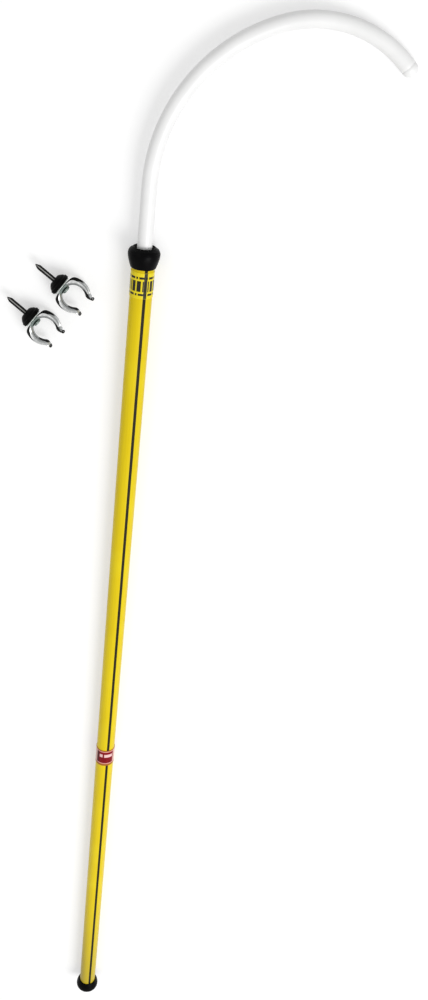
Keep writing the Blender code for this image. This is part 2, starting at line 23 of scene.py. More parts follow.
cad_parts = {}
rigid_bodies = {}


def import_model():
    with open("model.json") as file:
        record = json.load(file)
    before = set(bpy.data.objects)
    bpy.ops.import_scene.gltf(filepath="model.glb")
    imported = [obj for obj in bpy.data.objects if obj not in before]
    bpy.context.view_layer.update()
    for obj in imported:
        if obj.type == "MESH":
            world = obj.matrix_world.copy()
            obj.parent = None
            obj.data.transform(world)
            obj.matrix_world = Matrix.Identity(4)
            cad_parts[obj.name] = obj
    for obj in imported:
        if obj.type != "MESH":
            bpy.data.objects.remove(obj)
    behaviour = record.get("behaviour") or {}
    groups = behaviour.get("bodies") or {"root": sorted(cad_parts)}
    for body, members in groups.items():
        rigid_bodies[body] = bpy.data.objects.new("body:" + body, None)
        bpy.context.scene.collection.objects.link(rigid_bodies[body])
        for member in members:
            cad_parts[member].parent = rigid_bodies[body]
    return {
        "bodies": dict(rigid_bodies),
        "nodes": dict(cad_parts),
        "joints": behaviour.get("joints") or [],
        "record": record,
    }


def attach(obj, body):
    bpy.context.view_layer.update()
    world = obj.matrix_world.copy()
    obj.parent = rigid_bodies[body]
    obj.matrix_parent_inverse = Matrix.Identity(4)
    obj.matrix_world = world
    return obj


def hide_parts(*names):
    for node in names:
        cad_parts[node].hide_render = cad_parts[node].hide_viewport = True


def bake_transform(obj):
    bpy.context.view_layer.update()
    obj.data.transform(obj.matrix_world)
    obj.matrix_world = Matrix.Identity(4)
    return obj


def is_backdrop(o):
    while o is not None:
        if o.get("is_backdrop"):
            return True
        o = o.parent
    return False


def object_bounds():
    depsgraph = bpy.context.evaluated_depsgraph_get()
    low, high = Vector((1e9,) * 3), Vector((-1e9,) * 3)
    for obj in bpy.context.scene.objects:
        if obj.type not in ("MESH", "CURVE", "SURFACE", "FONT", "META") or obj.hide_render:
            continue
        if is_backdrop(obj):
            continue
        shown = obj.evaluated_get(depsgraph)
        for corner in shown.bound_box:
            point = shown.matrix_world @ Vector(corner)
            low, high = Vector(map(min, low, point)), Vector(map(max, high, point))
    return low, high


log = logging.getLogger("rescue_pole")

Point = tuple[float, float]
Triple = tuple[float, float, float]
Colour = Triple

# Attribute of a spring arm that keeps where each point lies at rest, in the clip's own frame
REST_PLACE = "rest_place"

# A ring this small stands for a point on the axis, until doubles are merged
TINY = 1e-6
MERGE_DISTANCE = 4e-6

# A vertex this near to a place counts as lying there
NEAR = 1e-5

# Points in a rounded corner, and the most that it may take of the edges beside it
CORNER_POINTS = 5
CORNER_REACH = 0.49

# Where the two printed sleeves lie along the pole
RATING_SPAN = (1.5721, 1.6091)
BAND_SPAN = (0.678, 0.7148)

# Radius of the bent strip of a clip, round the line that the pole's axis takes in it
RING_RADIUS = 0.0176

# Degrees in a radian
DEGREES = 180 / math.pi


class Axis(Enum):
    """The axis that a turned piece is turned about."""

    ALONG_POLE = "Y"
    ALONG_SCREW = "X"

    @property
    def vector(self) -> Vector:
        """Unit vector of the axis."""
        return Vector((0, 1, 0)) if self is Axis.ALONG_POLE else Vector((1, 0, 0))

    @property
    def ring_turn(self) -> Triple:
        """Turn that lays a new circle across the axis."""
        half = math.pi / 2
        return (half, 0, 0) if self is Axis.ALONG_POLE else (0, half, 0)

    def spread(self, factor: float) -> Triple:
        """Scale that widens a ring across the axis and leaves its place along it."""
        return (factor, 1, factor) if self is Axis.ALONG_POLE else (1, factor, factor)


class Side(Enum):
    """The two arms of a clip, by the side of the screw that they stand on."""

    LEFT = 1
    RIGHT = -1


# Modelling tools


class Bench:
    """The modelling tools for one piece: it is started, shaped and finished here, as by hand."""

    def __init__(self, name: str) -> None:
        """Start with a clear selection.

        Args:
            name: Name of the piece.
        """
        self.name = name
        self.clear_selection()

    @staticmethod
    def clear_selection() -> None:
        """Leave edit mode and deselect everything, the loaded nodes included."""
        active = bpy.context.view_layer.objects.active
        if active is not None and active.mode != "OBJECT":
            bpy.ops.object.mode_set(mode="OBJECT")
        bpy.ops.object.select_all(action="DESELECT")

    @property
    def piece(self) -> bpy.types.Object:
        """The object on the bench."""
        return bpy.context.view_layer.objects.active

    def begin(self) -> None:
        """Name the new primitive, put its place into its mesh and open it with all selected."""
        self.piece.name = self.name
        bpy.ops.object.transform_apply(location=True, rotation=True, scale=True)
        self.open()

    @staticmethod
    def open() -> None:
        """Enter edit mode with everything selected."""
        bpy.ops.object.mode_set(mode="EDIT")
        bpy.ops.mesh.select_mode(type="VERT")
        bpy.ops.mesh.select_all(action="SELECT")

    @staticmethod
    def close() -> None:
        """Leave edit mode."""
        bpy.ops.object.mode_set(mode="OBJECT")

    def ring(self, sides: int, radius: float, axis: Axis, along: float) -> None:
        """Start from an open circle round an axis.

        Args:
            sides: Number of points.
            radius: Radius of the circle.
            axis: Axis that it goes round.
            along: Its place along that axis.
        """
        bpy.ops.mesh.primitive_circle_add(
            vertices=sides,
            radius=radius,
            fill_type="NOTHING",
            location=axis.vector * along,
            rotation=axis.ring_turn,
        )
        self.begin()

    def extrude(self, step: Vector) -> None:
        """Extrude the selection by a step."""
        bpy.ops.mesh.extrude_region()
        bpy.ops.transform.translate(value=step)

    @staticmethod
    def move(step: Vector) -> None:
        """Move the selection."""
        bpy.ops.transform.translate(value=step)

    @staticmethod
    def turn(angle: float, axis: str, centre: Iterable[float]) -> None:
        """Turn the selection counter-clockwise about a world axis.

        Args:
            angle: Angle in radians. The operator turns the other way when there is no window.
            axis: "X", "Y" or "Z".
            centre: Point that stays where it is.
        """
        bpy.ops.transform.rotate(value=-angle, orient_axis=axis, center_override=tuple(centre))

    @staticmethod
    def scale(factors: Iterable[float], centre: Iterable[float], turned: float = 0.0) -> None:
        """Scale the selection.

        Args:
            factors: Factor along each axis.
            centre: Point that stays where it is.
            turned: Angle about Z of the axes that the factors are for.
        """
        bpy.ops.transform.resize(
            value=tuple(factors),
            orient_type="GLOBAL",
            orient_matrix=Matrix.Rotation(turned, 3, "Z"),
            orient_matrix_type="GLOBAL",
            center_override=tuple(centre),
        )

    def pick(self, test: Callable[[Vector], bool]) -> None:
        """Select the vertices that pass a test of their place.

        Args:
            test: Function of a place that says whether its vertex is wanted.
        """
        bpy.ops.mesh.select_mode(type="VERT")
        bpy.ops.mesh.select_all(action="DESELECT")
        self.close()
        for vertex in self.piece.data.vertices:
            vertex.select = test(vertex.co)
        bpy.ops.object.mode_set(mode="EDIT")

    def turned(self, outline: list[Point], sides: int, axis: Axis) -> None:
        """Carry a ring along an outline and close the shape.

        Args:
            outline: (along, radius) points. A radius of zero lies on the axis.
            sides: Number of facets round the axis.
            axis: Axis of the piece.
        """
        along, radius = outline[0][0], max(outline[0][1], TINY)
        self.ring(sides, radius, axis, along)
        shuts_on_axis = outline[0][1] == 0 and outline[-1][1] == 0
        rest = outline[1:] if shuts_on_axis else [*outline[1:], outline[0]]
        for next_along, next_radius in rest:
            self.extrude(axis.vector * (next_along - along))
            wanted = max(next_radius, TINY)
            if wanted != radius:
                self.scale(axis.spread(wanted / radius), axis.vector * next_along)
            along, radius = next_along, wanted
        self.seal()

    def seal(self) -> None:
        """Merge doubles and point every face outwards."""
        bpy.ops.mesh.select_all(action="SELECT")
        bpy.ops.mesh.remove_doubles(threshold=MERGE_DISTANCE)
        bpy.ops.mesh.normals_make_consistent(inside=False)
        self.close()

    def modify(self, kind: str, **settings: Any) -> None:
        """Add a modifier, set it and apply it.

        Args:
            kind: Type of the modifier.
            **settings: Its properties.
        """
        bpy.ops.object.modifier_add(type=kind)
        modifier = self.piece.modifiers[-1]
        for name, value in settings.items():
            setattr(modifier, name, value)
        bpy.ops.object.modifier_apply(modifier=modifier.name)

    def ease_edges(self, width: float, segments: int = 3, from_angle: float = 30.0) -> None:
        """Round the sharp edges.

        Args:
            width: Width of the rounding.
            segments: Facets across it.
            from_angle: Angle in degrees that an edge is sharp from.
        """
        self.modify(
            "BEVEL",
            width=width,
            segments=segments,
            limit_method="ANGLE",
            angle_limit=math.radians(from_angle),
            harden_normals=False,
        )

    def subdivide(self, levels: int) -> None:
        """Subdivide the surface and apply it."""
        self.modify("SUBSURF", levels=levels, render_levels=levels)

    def cut_with(self, cutter: bpy.types.Object, operation: str = "DIFFERENCE") -> None:
        """Cut the piece with another closed shape, or join the two, and remove that shape."""
        self.modify("BOOLEAN", operation=operation, solver="EXACT", object=cutter)
        bpy.data.objects.remove(cutter, do_unlink=True)

    def take(self, obj: bpy.types.Object) -> None:
        """Put an object on the bench.

        Args:
            obj: The object.
        """
        self.clear_selection()
        bpy.context.view_layer.objects.active = obj
        obj.select_set(True)

    def lay(self, place: Matrix) -> None:
        """Move the piece to its place, and put the place into its mesh."""
        self.piece.matrix_world = place
        bpy.ops.object.transform_apply(location=True, rotation=True, scale=True)

    def smooth(self, degrees: float = 40.0) -> None:
        """Shade the piece smooth up to an angle."""
        bpy.ops.object.shade_smooth_by_angle(angle=math.radians(degrees))


def eased(corners: list[Triple], steps: int = CORNER_POINTS) -> list[Point]:
    """Round the corners of an outline.

    Args:
        corners: (along, radius, fillet) of each corner. A fillet of zero keeps the corner.
        steps: Points in each rounded corner.

    Returns:
        The outline as (along, radius) points.
    """
    outline: list[Point] = []
    count = len(corners)
    for i, (along, radius, fillet) in enumerate(corners):
        here = Vector((along, radius))
        if fillet <= 0:
            outline.append((along, radius))
            continue
        before = Vector(corners[i - 1][:2]) - here
        after = Vector(corners[(i + 1) % count][:2]) - here
        reach = min(fillet, before.length * CORNER_REACH, after.length * CORNER_REACH)
        start = here + before.normalized() * reach
        end = here + after.normalized() * reach
        for k in range(steps):
            t = k / (steps - 1)
            point = start * (1 - t) ** 2 + here * 2 * t * (1 - t) + end * t**2
            outline.append((point.x, point.y))
    return outline


def turned_piece(
    name: str, outline: list[Point], sides: int, axis: Axis, smooth_degrees: float = 50
) -> bpy.types.Object:
    """Model a turned piece.

    Args:
        name: Name of the piece.
        outline: (along, radius) points.
        sides: Number of facets round the axis.
        axis: Axis of the piece.
        smooth_degrees: Angle up to which it is shaded smooth.

    Returns:
        The piece.
    """
    bench = Bench(name)
    bench.turned(outline, sides, axis)
    bench.smooth(smooth_degrees)
    return bench.piece


# Material tools


class Socket:
    """A value in a node tree. Python's operators on it add Math nodes."""

    def __init__(self, tree: "Tree", socket: bpy.types.NodeSocket) -> None:
        """Wrap an output socket of a tree."""
        self.tree = tree
        self.socket = socket

    def math(self, operation: str, *others: "Number", first: bool = True) -> "Socket":
        """Add a Math node.

        Args:
            operation: Operation of the node.
            *others: Its other values.
            first: Whether this value comes first.

        Returns:
            The result.
        """
        values = [self, *others] if first else [*others, self]
        return self.tree.node("ShaderNodeMath", {"operation": operation}, values)

    def __add__(self, other: "Number") -> "Socket":
        """Sum."""
        return self.math("ADD", other)

    __radd__ = __add__

    def __sub__(self, other: "Number") -> "Socket":
        """Difference."""
        return self.math("SUBTRACT", other)

    def __rsub__(self, other: "Number") -> "Socket":
        """Difference from a number."""
        return self.math("SUBTRACT", other, first=False)

    def __mul__(self, other: "Number") -> "Socket":
        """Product."""
        return self.math("MULTIPLY", other)

    __rmul__ = __mul__

    def __pow__(self, other: "Number") -> "Socket":
        """Power."""
        return self.math("POWER", other)

    def __mod__(self, other: "Number") -> "Socket":
        """Remainder that is never negative."""
        return self.math("FLOORED_MODULO", other)

    def __neg__(self) -> "Socket":
        """Opposite."""
        return self * -1.0

    def __abs__(self) -> "Socket":
        """Absolute value."""
        return self.math("ABSOLUTE")

    def __lt__(self, other: "Number") -> "Socket":
        """One where this is less."""
        return self.math("LESS_THAN", other)

    def at_least(self, other: "Number") -> "Socket":
        """The larger of the two."""
        return self.math("MAXIMUM", other)

    def at_most(self, other: "Number") -> "Socket":
        """The smaller of the two."""
        return self.math("MINIMUM", other)

    def ramp(self, low: float, high: float) -> "Socket":
        """Zero below a value and one above another, smooth between them.

        Args:
            low: Value where the result is zero.
            high: Value where the result is one.

        Returns:
            The result.
        """
        settings = {"interpolation_type": "SMOOTHSTEP"}
        return self.tree.node("ShaderNodeMapRange", settings, [self, low, high, 0.0, 1.0])


Number = Union[float, Socket]


class Tree:
    """The node tree of a new material, or of a new world, and the shader that shows it."""

    def __init__(self, owner: Union[bpy.types.Material, bpy.types.World]) -> None:
        """Open the tree.

        Args:
            owner: The new material or world.
        """
        owner.use_nodes = True
        self.nodes = owner.node_tree.nodes
        self.links = owner.node_tree.links
        self.shader = self.nodes.get("Principled BSDF") or self.nodes["Background"]

    def fill(self, node: bpy.types.Node, inputs: Union[dict, list]) -> None:
        """Set or link a node's inputs.

        Args:
            node: The node.
            inputs: Values or sockets, in the node's order or by the names of its inputs.
        """
        pairs = inputs.items() if isinstance(inputs, dict) else enumerate(inputs)
        for key, value in pairs:
            if isinstance(value, Socket):
                self.links.new(value.socket, node.inputs[key])
            else:
                node.inputs[key].default_value = value

    def node(
        self,
        kind: str,
        settings: Optional[dict] = None,
        inputs: Union[dict, list, None] = None,
        output: Union[int, str] = 0,
    ) -> Socket:
        """Add a node.

        Args:
            kind: Type of the node.
            settings: Its properties.
            inputs: Values or sockets of its inputs.
            output: Which output is wanted.

        Returns:
            That output.
        """
        node = self.nodes.new(kind)
        for name, value in (settings or {}).items():
            setattr(node, name, value)
        self.fill(node, inputs or {})
        return Socket(self, node.outputs[output])

    def place(self, frame: Optional[Matrix] = None) -> Socket:
        """Place on the piece, in the part's frame or in that of a sub-assembly.

        Args:
            frame: Frame of the sub-assembly.

        Returns:
            The place as a vector.
        """
        here = self.node("ShaderNodeTexCoord", output="Object")
        if frame is None:
            return here
        back = frame.inverted()
        inputs = {"Vector": here, "Location": back.translation, "Rotation": back.to_euler("XYZ")}
        return self.node("ShaderNodeMapping", {"vector_type": "POINT"}, inputs)

    def seen(self) -> Socket:
        """What the camera sees, straight or in polish or glass.

        Returns:
            One for such rays, else zero.
        """
        seen: Number = 0.0
        for ray in ("Is Camera Ray", "Is Glossy Ray", "Is Transmission Ray"):
            seen = self.node("ShaderNodeLightPath", output=ray) + seen
        return seen.at_most(1.0)

    def split(self, vector: Socket) -> tuple[Socket, Socket, Socket]:
        """The three parts of a vector.

        Args:
            vector: The vector.

        Returns:
            Its parts.
        """
        node = self.nodes.new("ShaderNodeSeparateXYZ")
        self.links.new(vector.socket, node.inputs[0])
        return tuple(Socket(self, out) for out in node.outputs)

    def join(self, x: Number, y: Number, z: Number) -> Socket:
        """A vector of three values."""
        return self.node("ShaderNodeCombineXYZ", None, [x, y, z])

    def noise(self, vector: Socket, scale: float, detail: float = 2.0, rough: float = 0.5) -> Socket:
        """Noise from about zero to one.

        Args:
            vector: Place that it is taken at.
            scale: Spots per metre.
            detail: Octaves.
            rough: Weight of the finer octaves.

        Returns:
            The noise.
        """
        inputs = {"Vector": vector, "Scale": scale, "Detail": detail, "Roughness": rough}
        return self.node("ShaderNodeTexNoise", None, inputs)

    def stretched(self, vector: Socket, factors: Triple) -> Socket:
        """A vector scaled along each axis, so that a pattern on it is stretched."""
        return self.node("ShaderNodeVectorMath", {"operation": "MULTIPLY"}, [vector, factors])

    def mix(self, factor: Number, a: Union[Colour, Socket], b: Union[Colour, Socket]) -> Socket:
        """Mix two colours.

        Args:
            factor: Share of the second.
            a: First colour.
            b: Second colour.

        Returns:
            The mixed colour.
        """
        inputs = {0: factor, 6: self.rgba(a), 7: self.rgba(b)}
        return self.node("ShaderNodeMix", {"data_type": "RGBA"}, inputs, output=2)

    @staticmethod
    def rgba(colour: Union[Colour, Socket]) -> Union[tuple, Socket]:
        """A colour as a Mix node takes it."""
        return colour if isinstance(colour, Socket) else (*colour, 1.0)

    def surface(self, **inputs: Any) -> None:
        """Set or link the shader's inputs.

        Args:
            **inputs: Values or sockets, with underscores for the spaces in the names.
        """
        named = {}
        for key, value in inputs.items():
            is_colour = key.endswith("Color") and not isinstance(value, Socket)
            named[key.replace("_", " ")] = (*value, 1.0) if is_colour else value
        self.fill(self.shader, named)

    def bump(self, height: Socket, distance: float, strength: float = 1.0) -> None:
        """Raise the surface by a height.

        Args:
            height: Height from zero to one.
            distance: What a height of one stands for.
            strength: Share of the effect.
        """
        inputs = {"Strength": strength, "Distance": distance, "Height": height}
        self.surface(Normal=self.node("ShaderNodeBump", None, inputs))


def band(value: Socket, low: float, high: float, soft: float) -> Socket:
    """One where a value lies between two limits, with soft edges.

    Args:
        value: The value.
        low: Lower limit.
        high: Upper limit.
        soft: Width of each edge.

    Returns:
        The mask.
    """
    return value.ramp(low - soft / 2, low + soft / 2) * (1 - value.ramp(high - soft / 2, high + soft / 2))


# Finishes


@dataclass(frozen=True)
class Finish:
    """What every finish has: a name, and a material that it paints."""

    name: str

    def paint(self, tree: Tree) -> None:
        """Add the finish's nodes to a tree."""
        raise NotImplementedError

    def material(self) -> bpy.types.Material:
        """The painted material, made once, apart from the plain ones that come with the frame.

        Returns:
            The material.
        """
        own_name = f"painted_{self.name}"
        found = bpy.data.materials.get(own_name)
        if found is not None:
            return found
        material = bpy.data.materials.new(own_name)
        self.paint(Tree(material))
        return material


@dataclass(frozen=True)
class TubeFinish(Finish):
    """Glossy yellow glass fibre with one black line along it."""

    yellow: Colour = (0.80, 0.610, 0.006)
    deep_yellow: Colour = (0.73, 0.545, 0.005)
    pale_yellow: Colour = (0.84, 0.690, 0.018)
    black: Colour = (0.010, 0.008, 0.001)
    line_degrees: float = 24.5
    line_half_degrees: float = 8.2
    edge_degrees: float = 0.5
    # Darker towards the foot, mottled by clouds; the extra darkening of the left side there is painted
    # shade
    foot_darkening: Colour = (0.43, 0.33, 0.03)
    foot_darkening_span: Point = (-0.04, 0.34)
    painted_shade_left_span: Point = (0.0, 0.015)
    line_wander_degrees: float = 0.8

    def base(self, tree: Tree) -> tuple[Socket, Socket, Socket]:
        """The yellow with its streaks and its line.

        Args:
            tree: Tree that it goes into.

        Returns:
            The colour, the mask of the line and the streaks.
        """
        place = tree.place()
        x, y, z = tree.split(place)
        streaks = tree.noise(tree.stretched(place, (1, 0.012, 1)), 900, 4, 0.6)
        clouds = tree.noise(place, 14, 3)
        yellow = tree.mix(streaks.ramp(0.3, 0.7), self.deep_yellow, self.yellow)
        yellow = tree.mix(clouds.ramp(0.45, 0.8) * 0.5, yellow, self.pale_yellow)
        # Painted shade: the left side darker near the foot, on top of the darkening towards the foot
        painted_left_shade = (-x).ramp(*self.painted_shade_left_span) * 0.45
        foot_darkening = (1 - y.ramp(*self.foot_darkening_span)) * (0.42 + clouds * 0.5 + painted_left_shade)
        yellow = tree.mix(foot_darkening, yellow, self.foot_darkening)
        wander = tree.noise(tree.stretched(place, (0, 1, 0)), 30, 2) - 0.5
        wander = wander * self.line_wander_degrees
        angle = x.math("ARCTAN2", z) * DEGREES + wander
        away = abs(angle - self.line_degrees)
        half = self.line_half_degrees
        line = 1 - away.ramp(half - self.edge_degrees, half + self.edge_degrees)
        return tree.mix(line, yellow, self.black), line, streaks

    def paint(self, tree: Tree) -> None:
        """Paint the tube.

        Args:
            tree: Tree of the material.
        """
        colour, line, streaks = self.base(tree)
        place = tree.place()
        scuffs = tree.noise(tree.stretched(place, (1, 0.25, 1)), 160, 5, 0.7).ramp(0.5, 0.75)
        tree.surface(
            Base_Color=colour,
            Roughness=0.30 + streaks * 0.08 + scuffs * 0.10 + line * 0.20,
            Specular_IOR_Level=0.14,
        )
        tree.bump(streaks, 0.00006, 0.5)


@dataclass(frozen=True)
class RatingFinish(TubeFinish):
    """Yellow printed sleeve: two rows of dashes and a row of plain blocks between them."""

    yellow: Colour = (0.86, 0.70, 0.012)
    deep_yellow: Colour = (0.80, 0.64, 0.010)
    print_black: Colour = (0.006, 0.005, 0.003)
    black: Colour = (0.022, 0.022, 0.004)
    span: Point = RATING_SPAN
    edge: float = 0.0005
    rows: tuple = (
        (1.5768, 1.5798, 48.0, ((0.0, 27.0), (33.0, 42.0))),
        (1.5824, 1.5976, 90.0, ((4.0, 10.0), (16.0, 33.0), (40.0, 60.0), (68.0, 74.0), (79.0, 85.0))),
        (1.6002, 1.6034, 48.0, ((2.0, 29.0), (35.0, 44.0))),
    )
    first_degrees: float = -58.0
    mark_fade: float = 1.2
    rim: float = 0.0006

    def paint(self, tree: Tree) -> None:
        """Paint the sleeve.

        Args:
            tree: Tree of the material.
        """
        colour, line, streaks = self.base(tree)
        place = tree.place()
        x, y, z = tree.split(place)
        angle = x.math("ARCTAN2", z) * DEGREES - self.first_degrees
        ink: Number = 0.0
        for start, end, period, marks in self.rows:
            turn = angle % period
            across: Number = 0.0
            for first, last in marks:
                across = band(turn, first, last, self.mark_fade) + across
            ink = across * band(y, start, end, self.edge) + ink
        worn = tree.noise(place, 700, 4, 0.65).ramp(0.30, 0.42)
        colour = tree.mix(ink * (0.75 + worn * 0.25), colour, self.print_black)
        low, high = self.span
        rim = 1 - band(y, low + self.rim, high - self.rim, self.rim)
        colour = tree.mix(rim * 0.35, colour, self.pale_yellow)
        rough = 0.26 + streaks * 0.05 + ink * 0.12 + line * 0.25
        tree.surface(Base_Color=colour, Roughness=rough, Specular_IOR_Level=0.25)
        tree.bump(tree.noise(place, 260, 3) + ink * 0.5, 0.00005, 0.6)


@dataclass(frozen=True)
class RedBandFinish(Finish):
    """Dark red printed sleeve with pale edge lines and plain pale bars, and painted shade on its left
    side.
    """

    red: Colour = (0.17, 0.001, 0.006)
    bright_red: Colour = (0.34, 0.010, 0.014)
    dark_red: Colour = (0.10, 0.0, 0.005)
    # Painted shade on the band's left side
    painted_shade_red: Colour = (0.035, 0.0, 0.001)
    margin: Colour = (0.42, 0.15, 0.02)
    cream: Colour = (0.88, 0.42, 0.38)
    pale: Colour = (0.90, 0.60, 0.58)
    line_places: Point = (0.6838, 0.7118)
    line_width: float = 0.0016
    end_degrees: Point = (-49.0, 63.0)
    end_colour: Colour = (0.80, 0.50, 0.44)
    end_fade: float = 6.0
    painted_shade_degrees: Point = (-40.0, -24.0)
    bar_span: Point = (0.6985, 0.7053)
    bar_degrees: Point = (2.0, 55.0)
    square_degrees: Point = (-28.0, -8.0)
    mark_fade: float = 2.0
    soft: float = 0.0004
    first_degrees: float = -75.0
    period: float = 180.0

    def paint(self, tree: Tree) -> None:
        """Paint the band.

        Args:
            tree: Tree of the material.
        """
        place = tree.place()
        x, y, z = tree.split(place)
        angle = x.math("ARCTAN2", z) * DEGREES - self.first_degrees
        angle = angle % self.period + self.first_degrees
        grain = tree.noise(place, 350, 4, 0.6)
        colour = tree.mix(grain.ramp(0.35, 0.75), self.red, self.bright_red)
        lower = 1 - y.ramp(BAND_SPAN[0] + 0.001, self.bar_span[0])
        colour = tree.mix(lower * 0.35, colour, self.dark_red)
        # Painted shade: the left side of the band darker
        colour = tree.mix((1 - angle.ramp(*self.painted_shade_degrees)) * 0.8, colour, self.painted_shade_red)
        ends = (1 - band(angle, *self.end_degrees, self.end_fade)) * 0.9
        colour = tree.mix(ends, colour, self.end_colour)
        margins = 1 - band(y, *self.line_places, self.soft)
        colour = tree.mix(margins * 0.85, colour, self.margin)
        lines: Number = 0.0
        for middle in self.line_places:
            half = self.line_width / 2
            lines = band(y, middle - half, middle + half, self.soft) + lines
        colour = tree.mix(lines * 0.9, colour, self.cream)
        height = band(y, *self.bar_span, self.soft)
        bar = band(angle, *self.bar_degrees, self.mark_fade) * height
        square = band(angle, *self.square_degrees, self.mark_fade) * height
        colour = tree.mix(bar.at_least(square) * 0.92, colour, self.pale)
        tree.surface(Base_Color=colour, Roughness=0.26 + grain * 0.10, Specular_IOR_Level=0.1)
        tree.bump(grain + bar * 0.5, 0.00005, 0.5)


@dataclass(frozen=True)
class RubberFinish(Finish):
    """Moulded rubber with a fine grain, a little paler where it is handled."""

    black: Colour = (0.0012, 0.0012, 0.0014)
    worn: Colour = (0.0045, 0.0045, 0.0045)
    roughness: float = 0.27
    grain: float = 2600.0
    grain_depth: float = 0.00004

    def paint(self, tree: Tree) -> None:
        """Paint the rubber.

        Args:
            tree: Tree of the material.
        """
        place = tree.place()
        grain = tree.noise(place, self.grain, 3, 0.6)
        patches = tree.noise(place, 90, 4, 0.6)
        specks = tree.noise(place, 1200, 2).ramp(0.66, 0.74)
        worn = patches.ramp(0.5, 0.75) * 0.6 + specks * 0.4
        tree.surface(
            Base_Color=tree.mix(worn, self.black, self.worn),
            Roughness=self.roughness + patches * 0.16 + specks * 0.1,
            Specular_IOR_Level=0.04,
        )
        tree.bump(grain + patches * 2.0, self.grain_depth, 0.6)


@dataclass(frozen=True)
class PlasticFinish(Finish):
    """Moulded or drawn plastic with soft clouds of tone and fine marks along the pole."""

    light: Colour = (0.55, 0.55, 0.52)
    dark: Colour = (0.46, 0.46, 0.43)
    roughness: float = 0.45
    marks: float = 700.0
    depth: float = 0.00003
    stretch: float = 0.15

    def paint(self, tree: Tree) -> None:
        """Paint the plastic.

        Args:
            tree: Tree of the material.
        """
        place = tree.place()
        clouds = tree.noise(place, 22, 4, 0.55)
        drawn = tree.noise(tree.stretched(place, (1, self.stretch, 1)), self.marks, 3, 0.55)
        colour = tree.mix(clouds.ramp(0.35, 0.7), self.dark, self.light)
        tree.surface(Base_Color=colour, Roughness=self.roughness + drawn * 0.12)
        tree.bump(drawn + clouds * 4.0, self.depth, 0.5)


@dataclass(frozen=True)
class FoamFinish(Finish):
    """Closed-cell foam: pale walls round darker cells."""

    wall: Colour = (0.85, 0.80, 0.62)
    cell: Colour = (0.62, 0.56, 0.38)
    cells: float = 900.0

    def paint(self, tree: Tree) -> None:
        """Paint the foam.

        Args:
            tree: Tree of the material.
        """
        inputs = {"Vector": tree.place(), "Scale": self.cells}
        depth = tree.node("ShaderNodeTexVoronoi", {"feature": "F1"}, inputs, "Distance")
        tree.surface(Base_Color=tree.mix(depth.ramp(0.1, 0.6), self.cell, self.wall), Roughness=0.9)
        tree.bump(depth, 0.0003, 0.8)


@dataclass(frozen=True)
class RodFinish(Finish):
    """Drawn glass fibre: amber resin with pale strands."""

    resin: Colour = (0.62, 0.52, 0.27)
    strand: Colour = (0.84, 0.79, 0.60)

    def paint(self, tree: Tree) -> None:
        """Paint the rod.

        Args:
            tree: Tree of the material.
        """
        strands = tree.noise(tree.stretched(tree.place(), (1, 0.03, 1)), 1500, 3, 0.6)
        tree.surface(
            Base_Color=tree.mix(strands.ramp(0.35, 0.65), self.resin, self.strand),
            Roughness=0.35 + strands * 0.2,
        )
        tree.bump(strands, 0.00005, 0.7)


@dataclass(frozen=True)
class SteelFinish(Finish):
    """Steel on a clip, in the clip's own frame: polished spring strip, plated washers or dark screw."""

    frame: Matrix = field(default_factory=Matrix)
    light: Colour = (0.82, 0.82, 0.81)
    shade: Colour = (0.52, 0.53, 0.53)
    low_roughness: float = 0.13
    high_roughness: float = 0.30
    tint: Optional[Colour] = None

    def place(self, tree: Tree) -> Socket:
        """Place in the clip's frame."""
        return tree.place(self.frame)

    def drawn(self, tree: Tree) -> tuple[Socket, Socket, Socket]:
        """Place in the clip's frame, and the fine lines of the drawn or rolled metal.

        Args:
            tree: Tree that they go into.

        Returns:
            The place, the lines and soft clouds.
        """
        place = self.place(tree)
        x, y, z = tree.split(place)
        round_ring = (x * x + y * y) ** 0.5
        turn = y.math("ARCTAN2", x) * RING_RADIUS
        lines = tree.noise(tree.join(turn * 0.06, round_ring, z), 5200, 3, 0.6)
        return place, lines, tree.noise(place, 240, 4, 0.6)

    def rough(self, lines: Socket) -> Socket:
        """Roughness of the bare metal, by its lines."""
        return self.low_roughness + lines * (self.high_roughness - self.low_roughness)

    def paint(self, tree: Tree) -> None:
        """Paint plated steel, mottled where a tint is given.

        Args:
            tree: Tree of the material.
        """
        place, lines, clouds = self.drawn(tree)
        colour = tree.mix(clouds.ramp(0.35, 0.7), self.shade, self.light)
        if self.tint is not None:
            inputs = {"Vector": place, "Scale": 900.0}
            flakes = tree.node("ShaderNodeTexVoronoi", None, inputs, "Color")
            grey, _, _ = tree.split(flakes)
            colour = tree.mix(grey * 0.45, colour, self.tint)
        tree.surface(Base_Color=colour, Roughness=self.rough(lines) + clouds * 0.08, Metallic=1.0)
        tree.bump(lines, 0.00002, 0.4)


